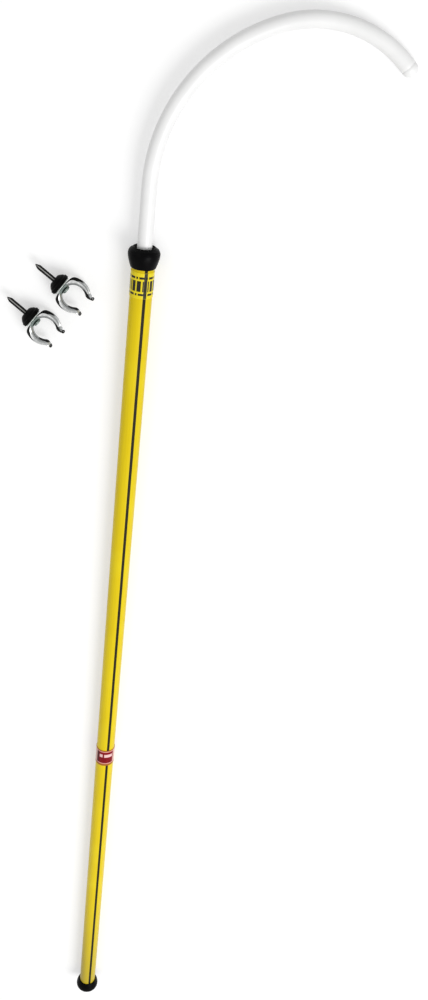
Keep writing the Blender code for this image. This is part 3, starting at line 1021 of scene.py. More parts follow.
@dataclass(frozen=True)
class StripFinish(SteelFinish):
    """Polished spring strip with dark curled tips. Painted reflection: dark bands beside the cup on the
    right arm, a dark wedge near the mouth and a grey band along the inner side; painted shade: dark and
    grey inside the gutter.
    """

    # The curled tips' own black, also used for painted reflection and painted shade on the strip
    dark: Colour = (0.006, 0.006, 0.006)
    # Grey of the painted reflection along the inner side and of the painted shade inside the gutter
    grey: Colour = (0.25, 0.26, 0.26)
    painted_reflection_grey_span: Point = (0.0014, 0.0030)
    painted_reflection_grey_shift: float = 0.0018
    plated: Colour = (0.17, 0.21, 0.195)
    plated_span: Point = (0.0110, 0.0125)
    # Where the painted dark reflection wedge lies along the inner edge near the mouth
    painted_wedge_span: Point = (0.0010, 0.0040)
    painted_wedge_widths: Point = (-0.0008, 0.0012)
    painted_wedge_growths: Point = (0.07, 0.24)
    # Where the painted dark bands lie beside the cup: painted reflection on the right arm, painted shade
    # inside the gutter
    painted_band_span: Point = (0.0047, 0.0053)
    painted_band_back: float = 0.0066
    painted_band_drop: float = 0.22
    painted_band_gutter_drop: float = 0.0012
    painted_band_end: Point = (-0.0050, 0.0016)
    saddle_span: Point = (0.0086, 0.0098)
    flare_start: float = 0.0118
    flare_slopes: Point = (0.46, 0.73)
    # Where the painted grey reflection starts towards the right arm's mouth
    painted_grey_start: Point = (-0.006, 0.004)
    neck: Point = (0.0196, 0.0206)
    wander: float = 0.0008

    def place(self, tree: Tree) -> Socket:
        """Place that the arm keeps from rest, so that the paint stays on it when it flexes."""
        return tree.node("ShaderNodeAttribute", {"attribute_name": REST_PLACE}, output="Vector")

    def paint(self, tree: Tree) -> None:
        """Paint the strip.

        Args:
            tree: Tree of the material.
        """
        place, lines, clouds = self.drawn(tree)
        x, y, z = tree.split(place)
        away = (x * x + y * y) ** 0.5 - RING_RADIUS
        wander = (tree.noise(place, 500, 3) - 0.5) * self.wander
        _, _, facing = tree.split(tree.node("ShaderNodeTexCoord", output="Normal"))
        gutter = (facing * z) < 0.0
        left = y.ramp(-0.001, 0.001)
        # Painted reflection: a dark wedge along the inner edge towards the mouth, widening towards the
        # tip and wider on the left arm, kept off the gutter side
        (least, most), (slow, fast) = self.painted_wedge_widths, self.painted_wedge_growths
        width = x * (left * (fast - slow) + slow) + left * (most - least) + least + wander
        (gentle, steep) = self.flare_slopes
        width = width + (x - self.flare_start).at_least(0.0) * (left * (steep - gentle) + gentle)
        painted_reflection_wedge = (1 - (away - width).ramp(-0.0002, 0.0004)) * (x + wander).ramp(*self.painted_wedge_span)
        painted_reflection_wedge = painted_reflection_wedge * (1 - gutter)
        # Painted reflection: dark bands beside the cup on the right arm's faces; painted shade: the same
        # bands inside the gutter of both arms
        back = (-x - self.painted_band_back).at_least(0.0) * self.painted_band_drop
        edges = (away + back + wander + gutter * self.painted_band_gutter_drop).ramp(*self.painted_band_span)
        on_arm = abs(y).ramp(*self.saddle_span)
        edges = edges * (1 - left * (1 - gutter)) * on_arm * (1 - x.ramp(*self.painted_band_end))
        # The curled tips' own black, joined with the painted dark bands and the painted dark wedge
        dark_tips_painted_shade_and_reflection = painted_reflection_wedge.at_least(edges).at_least(x.ramp(*self.neck)).at_most(1.0)
        steel = tree.mix(clouds.ramp(0.35, 0.7), self.shade, self.light)
        # Painted reflection: a grey band along the inner side, wider on the left arm, and grey towards
        # the right arm's mouth; painted shade: grey inside the gutter
        inside = 1 - (away + wander - left * self.painted_reflection_grey_shift).ramp(*self.painted_reflection_grey_span)
        painted_shade_and_reflection_grey = (gutter * 0.45).at_least((1 - left) * x.ramp(*self.painted_grey_start) * 0.4)
        steel = tree.mix((inside * 0.85).at_least(painted_shade_and_reflection_grey), steel, self.grey)
        saddle = (1 - on_arm) * (-x).ramp(*self.plated_span) * (0.75 + clouds * 0.25)
        steel = tree.mix(saddle.at_most(1.0), steel, self.plated)
        tree.surface(
            Base_Color=tree.mix(dark_tips_painted_shade_and_reflection, steel, self.dark),
            Roughness=self.rough(lines) + clouds * 0.06 + dark_tips_painted_shade_and_reflection * 0.22,
            Metallic=1 - dark_tips_painted_shade_and_reflection,
            Specular_IOR_Level=0.1,
        )
        tree.bump(lines, 0.00002, 0.4)


@dataclass(frozen=True)
class ScrewFinish(SteelFinish):
    """Blackened screw with a painted highlight, a grey line along the side that lies uppermost, and a
    plated head.
    """

    black: Colour = (0.004, 0.004, 0.004)
    # Grey of the painted highlight along the uppermost side
    painted_highlight_grey: Colour = (0.50, 0.50, 0.48)
    head: Colour = (0.24, 0.28, 0.26)
    head_start: float = -0.0142
    # Where the painted highlight lies round the shank, with its half width, fade and wander
    painted_highlight_degrees: float = 21.0
    painted_highlight_half_degrees: float = 8.0
    painted_highlight_fade: float = 8.0
    painted_highlight_wander: float = 14.0
    head_fade: float = 0.0003

    def paint(self, tree: Tree) -> None:
        """Paint the screw.

        Args:
            tree: Tree of the material.
        """
        place, lines, clouds = self.drawn(tree)
        x, y, z = tree.split(place)
        patchy = clouds.ramp(0.25, 0.6)
        # Painted highlight: a grey line along the uppermost side, patchy by clouds
        turn = y.math("ARCTAN2", z) * DEGREES + (lines - 0.5) * self.painted_highlight_wander
        turn = abs(turn - self.painted_highlight_degrees)
        half, fade = self.painted_highlight_half_degrees, self.painted_highlight_fade
        worn = (1 - turn.ramp(half - fade, half + fade)) * (0.55 + patchy * 0.45)
        shank = tree.mix(worn, self.black, self.painted_highlight_grey)
        is_head = x.ramp(self.head_start, self.head_start + self.head_fade)
        tree.surface(
            Base_Color=tree.mix(is_head, shank, self.head),
            Roughness=0.34 + lines * 0.12 + clouds * 0.1,
            Metallic=is_head,
            Specular_IOR_Level=0.12,
        )
        tree.bump(lines + clouds, 0.00003, 0.5)


# Where things are


@dataclass(frozen=True)
class ClipPlace:
    """Where a wall clip lies: the middle of its ring and the way that its mouth faces."""

    name: str
    x: float
    y: float
    heading_degrees: float
    height: float = -0.0065

    @property
    def frame(self) -> Matrix:
        """The clip's own frame: +X towards its mouth, +Z up across its strip."""
        lying = Matrix.Translation((self.x, self.y, self.height))
        return lying @ Matrix.Rotation(math.radians(self.heading_degrees), 4, "Z")


@dataclass(frozen=True)
class Finishes:
    """The finishes of the pole. Those of a clip are made in its own frame."""

    tube: Finish = TubeFinish("yellow_glass_fibre")
    rating: Finish = RatingFinish("yellow_printed_sleeve")
    band: Finish = RedBandFinish("red_printed_sleeve")
    rubber: Finish = RubberFinish("black_rubber")
    seal: Finish = RubberFinish("seal_rubber", roughness=0.6, grain=1800.0)
    nylon: Finish = PlasticFinish("grey_nylon")
    foam: Finish = FoamFinish("cream_foam")
    rod: Finish = RodFinish("glass_fibre_rod")
    sheath: Finish = PlasticFinish(
        "white_sheath",
        light=(0.93, 0.93, 0.925),
        dark=(0.89, 0.89, 0.885),
        roughness=0.30,
        marks=420.0,
        depth=0.00004,
    )
    cup: Finish = RubberFinish(
        "black_cup",
        black=(0.0014, 0.0014, 0.0014),
        worn=(0.008, 0.008, 0.008),
        roughness=0.34,
        grain=1500.0,
        grain_depth=0.00003,
    )


def dress(piece: bpy.types.Object, finish: Finish, slot: str, *nodes: str) -> None:
    """Give a finished piece its material, and hide the nodes that it stands for.

    Args:
        piece: The piece.
        finish: Its finish.
        slot: Material slot of the record; not used.
        *nodes: Names of the nodes that it replaces.
    """
    piece.data.materials.clear()
    piece.data.materials.append(finish.material())
    if nodes:
        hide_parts(*nodes)
    log.info("%s: %d faces, finish %s", piece.name, len(piece.data.polygons), finish.name)


# Sub-assemblies


@dataclass
class TubeAssembly:
    """The insulating tube and the two printed sleeves on it."""

    finishes: Finishes
    start: float = 0.0086
    end: float = 1.6286
    radius: float = 0.016
    wall: float = 0.003
    edge: float = 0.0006
    sides: int = 96
    lengths: int = 60
    sleeve_outer: float = 0.0167
    sleeve_inner: float = 0.01602
    sleeve_fillet: float = 0.0005
    sleeve_cuts: int = 12

    def tube(self) -> bpy.types.Object:
        """Model the tube: a long wall with eased ends.

        Returns:
            The piece.
        """
        step = (self.end - self.start - 2 * self.edge) / self.lengths
        wall_points = [(self.start + self.edge + step * i, self.radius) for i in range(self.lengths + 1)]
        inner = self.radius - self.wall
        outline = [(self.start, inner), (self.start, self.radius - self.edge), *wall_points]
        outline += [(self.end, self.radius - self.edge), (self.end, inner)]
        return turned_piece("tube_shell", outline, self.sides, Axis.ALONG_POLE)

    def sleeve(self, name: str, span: Point) -> bpy.types.Object:
        """Model a printed sleeve with rounded rims.

        Args:
            name: Name of the piece.
            span: Its two ends along the pole.

        Returns:
            The piece.
        """
        low, high = span
        fillet, cuts = self.sleeve_fillet, self.sleeve_cuts
        corners = [
            (low, self.sleeve_inner, 0),
            (low, self.sleeve_outer, fillet),
            (high, self.sleeve_outer, fillet),
            (high, self.sleeve_inner, 0),
        ]
        outline = eased(corners)
        straight = high - low - 2 * fillet
        run = [(low + fillet + straight * i / cuts, self.sleeve_outer) for i in range(1, cuts)]
        before = 1 + CORNER_POINTS
        outline = outline[:before] + run + outline[before:]
        return turned_piece(name, outline, self.sides, Axis.ALONG_POLE)

    def build(self) -> None:
        """Model, place and dress the pieces."""
        tube = self.tube()
        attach(tube, "pole")
        dress(tube, self.finishes.tube, "yellow_tube", "insulating_tube")
        for name, span, finish, slot, node in (
            ("rating_sleeve_print", RATING_SPAN, self.finishes.rating, "rating_print", "rating_sleeve"),
            ("red_band_print", BAND_SPAN, self.finishes.band, "red_print", "band_sleeve"),
        ):
            sleeve = self.sleeve(name, span)
            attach(sleeve, "pole")
            dress(sleeve, finish, slot, node)


@dataclass
class RubberEnds:
    """The foot cap and the head collar."""

    finishes: Finishes
    sides: int = 96
    bore: float = 0.01604
    cap_length: float = 0.024
    cap_wall: float = 0.006
    collar_start: float = 1.6126
    collar_length: float = 0.029
    collar_seat: float = 1.6312
    seal_end: float = 1.6347
    seal_bore: float = 0.01432
    stem_bore: float = 0.01055

    def cap(self) -> bpy.types.Object:
        """Model the foot cap: a domed cup with a moulded rim and ribs on its flat end.

        Returns:
            The piece.
        """
        length = self.cap_length
        corners = [
            (self.cap_wall, 0, 0),
            (self.cap_wall, self.bore, 0.0008),
            (length, self.bore, 0.0003),
            (length, 0.0176, 0.0005),
            (length - 0.0012, 0.0183, 0.0010),
            (0.0180, 0.0204, 0.0030),
            (0.0142, 0.0217, 0.0010),
            (0.0136, 0.0213, 0.0004),
            (0.0130, 0.0218, 0.0006),
            (0.0110, 0.0223, 0.0014),
            (0.0078, 0.0225, 0.0020),
            (0.0040, 0.0218, 0.0026),
            (0.0010, 0.0180, 0.0024),
            (0.0, 0.0138, 0.0012),
            (0.0, 0.0118, 0.0002),
            (0.0006, 0.0114, 0.0002),
            (0.0006, 0.0104, 0.0002),
            (0.0, 0.0100, 0.0002),
            (0.0, 0.0078, 0.0002),
            (0.0006, 0.0074, 0.0002),
            (0.0006, 0.0064, 0.0002),
            (0.0, 0.0060, 0.0002),
            (0.0, 0, 0),
        ]
        return turned_piece("foot_cap_rubber", eased(corners), self.sides, Axis.ALONG_POLE, 60)

    def collar(self) -> bpy.types.Object:
        """Model the head collar: a swelling cone with two fine grooves and a rolled mouth.

        Returns:
            The piece.
        """
        start = self.collar_start
        end = start + self.collar_length
        corners = [
            (start, self.bore, 0.0003),
            (start, 0.0174, 0.0007),
            (start + 0.0014, 0.0182, 0.0010),
            (start + 0.0069, 0.0200, 0.0040),
            (start + 0.0139, 0.02195, 0.0034),
            (start + 0.0178, 0.0225, 0.0022),
            (start + 0.0212, 0.0224, 0.0010),
            (start + 0.0220, 0.0217, 0.0004),
            (start + 0.0226, 0.0220, 0.0006),
            (start + 0.0243, 0.0212, 0.0009),
            (start + 0.0250, 0.0204, 0.0004),
            (start + 0.0256, 0.0203, 0.0006),
            (start + 0.0276, 0.0170, 0.0016),
            (end, 0.0156, 0.0010),
            (end - 0.0006, 0.0144, 0.0008),
            (end - 0.0048, 0.0116, 0.0008),
            (end - 0.0056, self.stem_bore, 0.0004),
            (self.seal_end + 0.0002, self.stem_bore, 0),
            (self.seal_end + 0.0002, self.seal_bore, 0),
            (self.collar_seat, self.seal_bore, 0),
            (self.collar_seat, self.bore, 0),
        ]
        return turned_piece("head_collar_rubber", eased(corners), self.sides, Axis.ALONG_POLE, 60)

    def build(self) -> None:
        """Model, place and dress both pieces."""
        for piece, node in ((self.cap(), "foot_cap"), (self.collar(), "head_collar")):
            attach(piece, "pole")
            dress(piece, self.finishes.rubber, "black_rubber", node)


@dataclass
class Hook:
    """The white sheath of the body hook and the rounded cap that closes its tip."""

    finishes: Finishes
    sheath_start: float = 1.6312
    stem_end: float = 1.7228
    sheath_radius: float = 0.010435
    bore: float = 0.0073
    first_radius: float = 0.2285
    first_degrees: float = 68.8
    second_radius: float = 0.157
    second_degrees: float = 68.5
    tip_length: float = 0.013
    gap: float = 0.00004
    lip: float = 0.00004
    tilt_degrees: float = 2.2138
    sides: int = 56
    stem_steps: int = 8
    degrees_a_step: float = 1.6
    dome_steps: int = 14

    @property
    def first_length(self) -> float:
        """Length of the first bend."""
        return self.first_radius * math.radians(self.first_degrees)

    @property
    def length(self) -> float:
        """Length of both bends."""
        return self.first_length + self.second_radius * math.radians(self.second_degrees)

    @property
    def stem_top(self) -> Vector:
        """Where the straight stem ends and the first bend starts."""
        return Vector((0, self.stem_end, 0))

    def stations(self, end: float) -> list[Point]:
        """Steps round the bends of the hook.

        Args:
            end: Distance of the last step past the stem.

        Returns:
            (turn, bend radius) of each step.
        """
        first = min(self.first_length, end)
        steps = []
        for radius, length in ((self.first_radius, first), (self.second_radius, end - first)):
            count = max(1, round(math.degrees(length / radius) / self.degrees_a_step))
            steps += [(length / count / radius, radius)] * count
        return steps

    @staticmethod
    def sweep(
        bench: Bench, steps: list[Point], place: Vector, heading: float = 0.0, extruding: bool = True
    ) -> tuple[Vector, float]:
        """Carry the selected ring round bends.

        Args:
            bench: Bench with the ring selected.
            steps: (turn, bend radius) of each step.
            place: Middle of the ring.
            heading: Angle from +Y towards +X that it faces.
            extruding: Whether the ring leaves a wall behind it.

        Returns:
            Middle and heading of the ring after the last step.
        """
        for turn, radius in steps:
            centre = place + Vector((math.cos(heading), -math.sin(heading), 0)) * radius
            if extruding:
                bpy.ops.mesh.extrude_region()
            bench.turn(-turn, "Z", centre)
            heading += turn
            place = centre - Vector((math.cos(heading), -math.sin(heading), 0)) * radius
        return place, heading

    def sheath(self) -> bpy.types.Object:
        """Model the sheath: a ring carried up the stem and round both bends, with a wall.

        Returns:
            The piece.
        """
        bench = Bench("hook_sheath_skin")
        bench.ring(self.sides, self.sheath_radius, Axis.ALONG_POLE, self.sheath_start)
        for _ in range(self.stem_steps):
            bench.extrude(Vector((0, (self.stem_end - self.sheath_start) / self.stem_steps, 0)))
        self.sweep(bench, self.stations(self.length - self.tip_length - self.gap), self.stem_top)
        bench.seal()
        bench.modify("SOLIDIFY", thickness=self.sheath_radius - self.bore, offset=-1)
        bench.ease_edges(self.lip, 2, 60)
        bench.smooth(50)
        bench.lay(Matrix.Rotation(math.radians(self.tilt_degrees), 4, "Y"))
        return bench.piece

    def tip(self) -> bpy.types.Object:
        """Model the tip cap: a short sleeve that rounds off into a dome.

        Returns:
            The piece.
        """
        bench = Bench("hook_tip_dome")
        bench.ring(self.sides, self.bore, Axis.ALONG_POLE, self.stem_end)
        before = self.stations(self.length - self.tip_length)
        place, heading = self.sweep(bench, before, self.stem_top, extruding=False)
        outer = self.sheath_radius
        shape = [(0.0, outer - self.lip), (self.lip, outer)]
        for i in range(self.dome_steps + 1):
            angle = math.pi / 2 * i / self.dome_steps
            shape.append((self.tip_length - outer + outer * math.sin(angle), outer * math.cos(angle)))
        radius = self.bore
        travelled = 0.0
        for distance, wanted in shape:
            turn = (distance - travelled) / self.second_radius
            wanted = max(wanted, TINY)
            place, heading = self.sweep(bench, [(turn, self.second_radius)], place, heading)
            bench.scale((wanted / radius,) * 3, place)
            travelled, radius = distance, wanted
        # The face that lies on the sheath's end is closed with the bore
        bench.seal()
        bench.open()
        bpy.ops.mesh.select_all(action="DESELECT")
        bpy.ops.mesh.select_non_manifold(extend=False)
        bpy.ops.mesh.fill()
        bench.seal()
        bench.smooth(50)
        bench.lay(Matrix.Rotation(math.radians(self.tilt_degrees), 4, "Y"))
        return bench.piece

    def build(self) -> None:
        """Model, place and dress both pieces."""
        for piece, node in ((self.sheath(), "hook_sheath"), (self.tip(), "hook_tip_cap")):
            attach(piece, "pole")
            dress(piece, self.finishes.sheath, "white_sheath", node)


@dataclass
class SpringStrip:
    """One half of a clip's bent strip, from the middle of its back to its curled tip."""

    thickness: float = 0.0010
    half_width: float = 0.0065
    depth: float = 0.005
    flare: tuple = (
        *((150.0, 0.0050), (141.0, 0.0070), (131.5, 0.0084), (122.0, 0.0080), (113.0, 0.0073)),
        *((94.0, 0.0065), (66.5, 0.0056), (48.0, 0.0052)),
    )
    bow: Point = (0.45, 0.55)
    flat_half: float = 0.0088
    flat_rows: tuple = (-0.0025, 0.0, 0.0040, 0.0078)
    mouth_degrees: float = 48.0
    arm_rows: int = 18
    tip: Point = (0.0222, 0.0150)
    tip_heading: Point = (1.0, 0.5)
    neck_half_width: float = 0.0022
    neck_reaches: Point = (0.2, 0.25)
    neck_shares: tuple = (
        *((1.0, 1.0), (0.99, 1.0), (0.97, 0.98), (0.94, 0.94)),
        *((0.90, 0.88), (0.80, 0.74), (0.10, 0.08), (0.0, 0.0)),
    )
    columns: int = 12
    curl_radius: float = 0.00115
    curl_steps: int = 12
    curl_step_degrees: float = 28.0
    screw_hole: float = 0.0041

    def depth_at(self, degrees: float) -> float:
        """Depth of the gutter round the ring.

        Args:
            degrees: Angle round the ring from the middle of the mouth.

        Returns:
            The depth.
        """
        for (before, deep), (after, next_deep) in zip(self.flare, self.flare[1:]):
            if degrees >= after:
                share = min(1.0, max(0.0, (before - degrees) / (before - after)))
                return deep + (next_deep - deep) * share
        return self.flare[-1][1]

    def stations(self) -> list[tuple[Vector, float, float, float]]:
        """Where the strip's back runs.

        Returns:
            (place, angle of the outward direction, half width, depth) of each row.
        """
        flat_x = -math.sqrt(RING_RADIUS**2 - self.flat_half**2)
        rows = []
        for y in self.flat_rows:
            rows.append((Vector((flat_x, y, 0)), math.pi, self.half_width, self.depth))
        first = math.atan2(self.flat_half, flat_x)
        last = math.radians(self.mouth_degrees)
        for i in range(self.arm_rows + 1):
            angle = first + (last - first) * i / self.arm_rows
            place = Vector((math.cos(angle), math.sin(angle), 0)) * RING_RADIUS
            facing = angle if i else (angle + math.pi) / 2
            rows.append((place, facing, self.half_width, self.depth_at(math.degrees(angle))))
        rows += self.neck(rows[-1][0], last)
        return rows

    def neck(self, start: Vector, angle: float) -> list[tuple[Vector, float, float, float]]:
        """The rows that narrow from the arm's end to its tip.

        Args:
            start: End of the ring.
            angle: Angle of the ring there.

        Returns:
            The rows.
        """
        heading = Vector((*self.tip_heading, 0)).normalized()
        tip = Vector((*self.tip, 0)) - Vector((-heading.y, heading.x, 0)) * self.curl_radius
        leaving = Vector((math.sin(angle), -math.cos(angle), 0)) * RING_RADIUS * self.neck_reaches[0]
        arriving = heading * RING_RADIUS * self.neck_reaches[1]
        rows = []
        for i, (share, deep) in enumerate(self.neck_shares, start=1):
            t = i / len(self.neck_shares)
            place = start * (1 - t) ** 3 + (start + leaving) * 3 * t * (1 - t) ** 2
            place = place + (tip - arriving) * 3 * t**2 * (1 - t) + tip * t**3
            slope = leaving * 3 * (1 - t) ** 2 + arriving * 3 * t**2
            slope = slope + (tip - arriving - start - leaving) * 6 * t * (1 - t)
            facing = math.atan2(slope.x, -slope.y)
            width = self.neck_half_width + (self.half_width - self.neck_half_width) * share
            rows.append((place, facing, width, max(self.flare[-1][1] * deep, TINY)))
        return rows

    def half(self, name: str) -> bpy.types.Object:
        """Model the left half of the strip in the clip's frame.

        Args:
            name: Name of the piece.

        Returns:
            The piece.
        """
        bench = Bench(name)
        rows = self.stations()
        place, facing, width, depth = rows[0]
        self.first_row(bench, place)
        for i, (next_place, next_facing, next_width, next_depth) in enumerate(rows[1:], start=1):
            bench.extrude(next_place - place)
            if abs(next_facing - facing) > TINY:
                turn = (next_facing - facing + math.pi) % math.tau - math.pi
                bench.turn(turn, "Z", next_place)
            deeper = next_depth / depth
            wider = next_width / width
            if abs(deeper - 1) > TINY or abs(wider - 1) > TINY:
                bench.scale((deeper, 1, wider), next_place, next_facing)
            place, facing, width, depth = next_place, next_facing, next_width, next_depth
        self.curl(bench, place, facing)
        bench.seal()
        bench.modify("SOLIDIFY", thickness=self.thickness, offset=1)
        bench.subdivide(2)
        self.trim_middle(bench)
        bench.smooth(60)
        return bench.piece

    def first_row(self, bench: Bench, place: Vector) -> None:
        """Start from a row of vertices across the strip, with its edges bent away from the pole.

        Args:
            bench: The bench.
            place: Middle of the row.
        """
        bpy.ops.mesh.primitive_grid_add(
            x_subdivisions=1,
            y_subdivisions=self.columns,
            size=2 * self.half_width,
            location=place,
            rotation=(math.pi / 2, 0, 0),
        )
        bench.begin()
        bench.pick(lambda co: co.x > place.x)
        bpy.ops.mesh.delete(type="VERT")
        bpy.ops.mesh.select_all(action="SELECT")
        bench.move(Vector((self.half_width, 0, 0)))
        square, fourth = self.bow
        for i in range(self.columns + 1):
            across = -self.half_width + 2 * self.half_width * i / self.columns
            share = abs(across / self.half_width)
            bench.pick(lambda co, z=across: abs(co.z - z) < NEAR)
            bench.move(Vector((-self.depth * (square * share**2 + fourth * share**4), 0, 0)))
        bpy.ops.mesh.select_all(action="SELECT")

    def curl(self, bench: Bench, place: Vector, facing: float) -> None:
        """Roll the tip outwards.

        Args:
            bench: Bench with the last row selected.
            place: Middle of that row.
            facing: Angle of its outward direction.
        """
        outward = Vector((math.cos(facing), math.sin(facing), 0))
        centre = place + outward * self.curl_radius
        for _ in range(self.curl_steps):
            bpy.ops.mesh.extrude_region()
            bench.turn(math.radians(self.curl_step_degrees), "Z", centre)

    def trim_middle(self, bench: Bench) -> None:
        """Drill the screw's hole and cut the strip flush at the middle of its back.

        Args:
            bench: Bench with the strip on it.
        """
        strip = bench.piece
        drill = Bench("screw_hole_drill")
        bpy.ops.mesh.primitive_cylinder_add(
            vertices=48,
            radius=self.screw_hole,
            depth=0.02,
            location=(-RING_RADIUS, 0, 0),
            rotation=(0, math.pi / 2, 0),
        )
        cutter = drill.piece
        bench.take(strip)
        bench.cut_with(cutter)
        bench.open()
        bpy.ops.mesh.bisect(plane_co=(0, 0, 0), plane_no=(0, 1, 0), use_fill=True)
        bench.pick(lambda co: co.y < -TINY and co.x < 0)
        bpy.ops.mesh.delete(type="VERT")
        bpy.ops.mesh.select_all(action="DESELECT")
        bpy.ops.mesh.select_non_manifold(extend=False)
        bpy.ops.mesh.fill()
        bench.seal()


@dataclass
class ScrewSet:
    """A clip's wall screw, its two washers and its wall cup, in the clip's frame."""

    sides: int = 64
    shank_radius: float = 0.0035
    thread_radius: float = 0.0038
    head_seat: float = -0.013842
    length: float = 0.05448
    point: float = 0.0062
    tip_radius: float = 0.0012
    head_radius: float = 0.0060
    head_height: float = 0.0022
    thread_pitch: float = 0.0027
    thread_length: float = 0.034
    thread_inset: float = 0.0005
    thread_spared: float = 0.0015
    root_sunk: float = 0.0002
    tooth_width: float = 1.1
    tooth_start: float = 0.05
    tooth_end: float = 0.08
    point_share: float = 0.30
    steps_a_turn: int = 20
    bore: float = 0.0041
    head_washer: Triple = (-0.014142, -0.014942, 0.0076)
    face_washer: Triple = (-0.021017, -0.022217, 0.0142)
    cup_front: float = -0.022517
    cup_back: float = -0.035517
    cup_radius: float = 0.016

    @property
    def end(self) -> float:
        """Place of the screw's point."""
        return self.head_seat - self.length

    def screw(self) -> bpy.types.Object:
        """Model the screw: a domed head with a cross recess, a shank and a thread.

        Returns:
            The piece.
        """
        bench = Bench("screw")
        top = self.head_seat + self.head_height
        plain = self.end + self.thread_length
        corners = [
            (top, 0, 0),
            (top, self.head_radius * 0.62, 0.0014),
            (top - 0.0009, self.head_radius * 0.95, 0.0008),
            (self.head_seat + 0.0003, self.head_radius, 0.0003),
            (self.head_seat, self.head_radius - 0.0003, 0.0001),
            (self.head_seat, self.thread_radius, 0.0003),
            (plain + 0.0012, self.thread_radius, 0.0004),
            (plain, self.shank_radius, 0.0004),
            (self.end + self.point, self.shank_radius, 0.0015),
            (self.end + 0.0012, self.tip_radius, 0.0008),
            (self.end, 0.0005, 0.0003),
            (self.end, 0, 0),
        ]
        bench.turned(eased(corners, 4), self.sides, Axis.ALONG_SCREW)
        shank = bench.piece
        for turn in (0.0, math.pi / 2):
            slot = Bench("recess")
            bpy.ops.mesh.primitive_cube_add(
                size=1,
                location=(top, 0, 0),
                rotation=(turn, 0, 0),
                scale=(0.0026, 0.0056, 0.0011),
            )
            slot.begin()
            slot.pick(lambda co: co.x < top)
            slot.scale((1, 0.5, 0.5), (top, 0, 0))
            slot.close()
            cutter = slot.piece
            bench.take(shank)
            bench.cut_with(cutter)
        thread = self.thread()
        bench.take(shank)
        thread.select_set(True)
        bpy.ops.object.join()
        bench.smooth(35)
        return bench.piece

    def thread(self) -> bpy.types.Object:
        """Model the thread: a small tooth carried round the shank and drawn in at the point.

        Returns:
            The thread alone.
        """
        bench = Bench("thread")
        start = self.end + self.thread_length - self.thread_inset
        root = self.shank_radius - self.root_sunk
        depth = self.thread_radius - root
        bpy.ops.mesh.primitive_circle_add(
            vertices=3,
            radius=depth * 2 / 3,
            fill_type="NGON",
            location=(start, 0, root + depth / 3),
            rotation=(math.pi / 2, 0, math.pi / 2),
        )
        bench.begin()
        bench.turn(math.pi / 2, "Z", (start, 0, 0))
        share = self.tooth_start
        bench.scale((self.tooth_width, 1, 1), (start, 0, root))
        bench.scale((share, 1, share), (start, 0, root))
        turns = (self.thread_length - self.thread_spared) / self.thread_pitch
        steps = int(turns * self.steps_a_turn)
        angle = math.tau / self.steps_a_turn
        advance = self.thread_pitch / self.steps_a_turn
        place = start
        squeeze = 1.0
        turned = 0.0
        for i in range(steps):
            bpy.ops.mesh.extrude_region()
            bench.turn(angle, "X", (place, 0, 0))
            bench.move(Vector((-advance, 0, 0)))
            turned += angle
            place -= advance
            left = (steps - i - 1) / self.steps_a_turn
            wanted = min(1.0, (i + 1) / self.steps_a_turn, max(left, self.tooth_end))
            to_point = max(0.0, place - self.end)
            narrow = min(1.0, self.point_share + (1 - self.point_share) * to_point / self.point)
            centre = (place, math.sin(turned) * -root * squeeze, math.cos(turned) * root * squeeze)
            bench.scale((wanted / share,) * 3, centre)
            share = wanted
            if narrow != squeeze:
                bench.scale((1, narrow / squeeze, narrow / squeeze), (place, 0, 0))
                squeeze = narrow
        bench.seal()
        return bench.piece

    def washer(self, name: str, sizes: Triple) -> bpy.types.Object:
        """Model a flat washer with rounded rims.

        Args:
            name: Name of the piece.
            sizes: (front, back, radius) of the washer.

        Returns:
            The piece.
        """
        front, back, radius = sizes
        fillet = abs(front - back) * 0.35
        corners = [
            (front, self.bore, fillet * 0.5),
            (front, radius, fillet),
            (back, radius, fillet * 0.6),
            (back, self.bore, fillet * 0.5),
        ]
        return turned_piece(name, eased(corners), self.sides, Axis.ALONG_SCREW)

    def cup(self) -> bpy.types.Object:
        """Model the wall cup: a grooved rim next to the clip, and a dome down to a dished hub.

        Returns:
            The piece.
        """
        front, back, outer = self.cup_front, self.cup_back, self.cup_radius
        corners = [
            (front, self.bore, 0.0002),
            (front, outer - 0.0016, 0.0004),
            (front - 0.0003, outer - 0.0006, 0.0006),
            (front - 0.0010, outer, 0.0006),
            (front - 0.0024, outer, 0.0002),
            (front - 0.0027, outer - 0.0004, 0.0002),
            (front - 0.0030, outer, 0.0002),
            (front - 0.0051, outer, 0.0006),
            (front - 0.0057, 0.0149, 0.0003),
            (front - 0.0060, 0.0146, 0.0004),
            (front - 0.0084, 0.0134, 0.0022),
            (front - 0.0092, 0.0127, 0.0003),
            (front - 0.0095, 0.0121, 0.0003),
            (front - 0.0106, 0.0112, 0.0010),
            (front - 0.0122, 0.0091, 0.0010),
            (back + 0.0001, 0.0076, 0.0004),
            (back, 0.0070, 0.0003),
            (back, 0.0050, 0.0003),
            (back + 0.0008, 0.0045, 0.0003),
            (back + 0.0010, self.bore, 0.0002),
        ]
        return turned_piece("cup", eased(corners), self.sides, Axis.ALONG_SCREW)


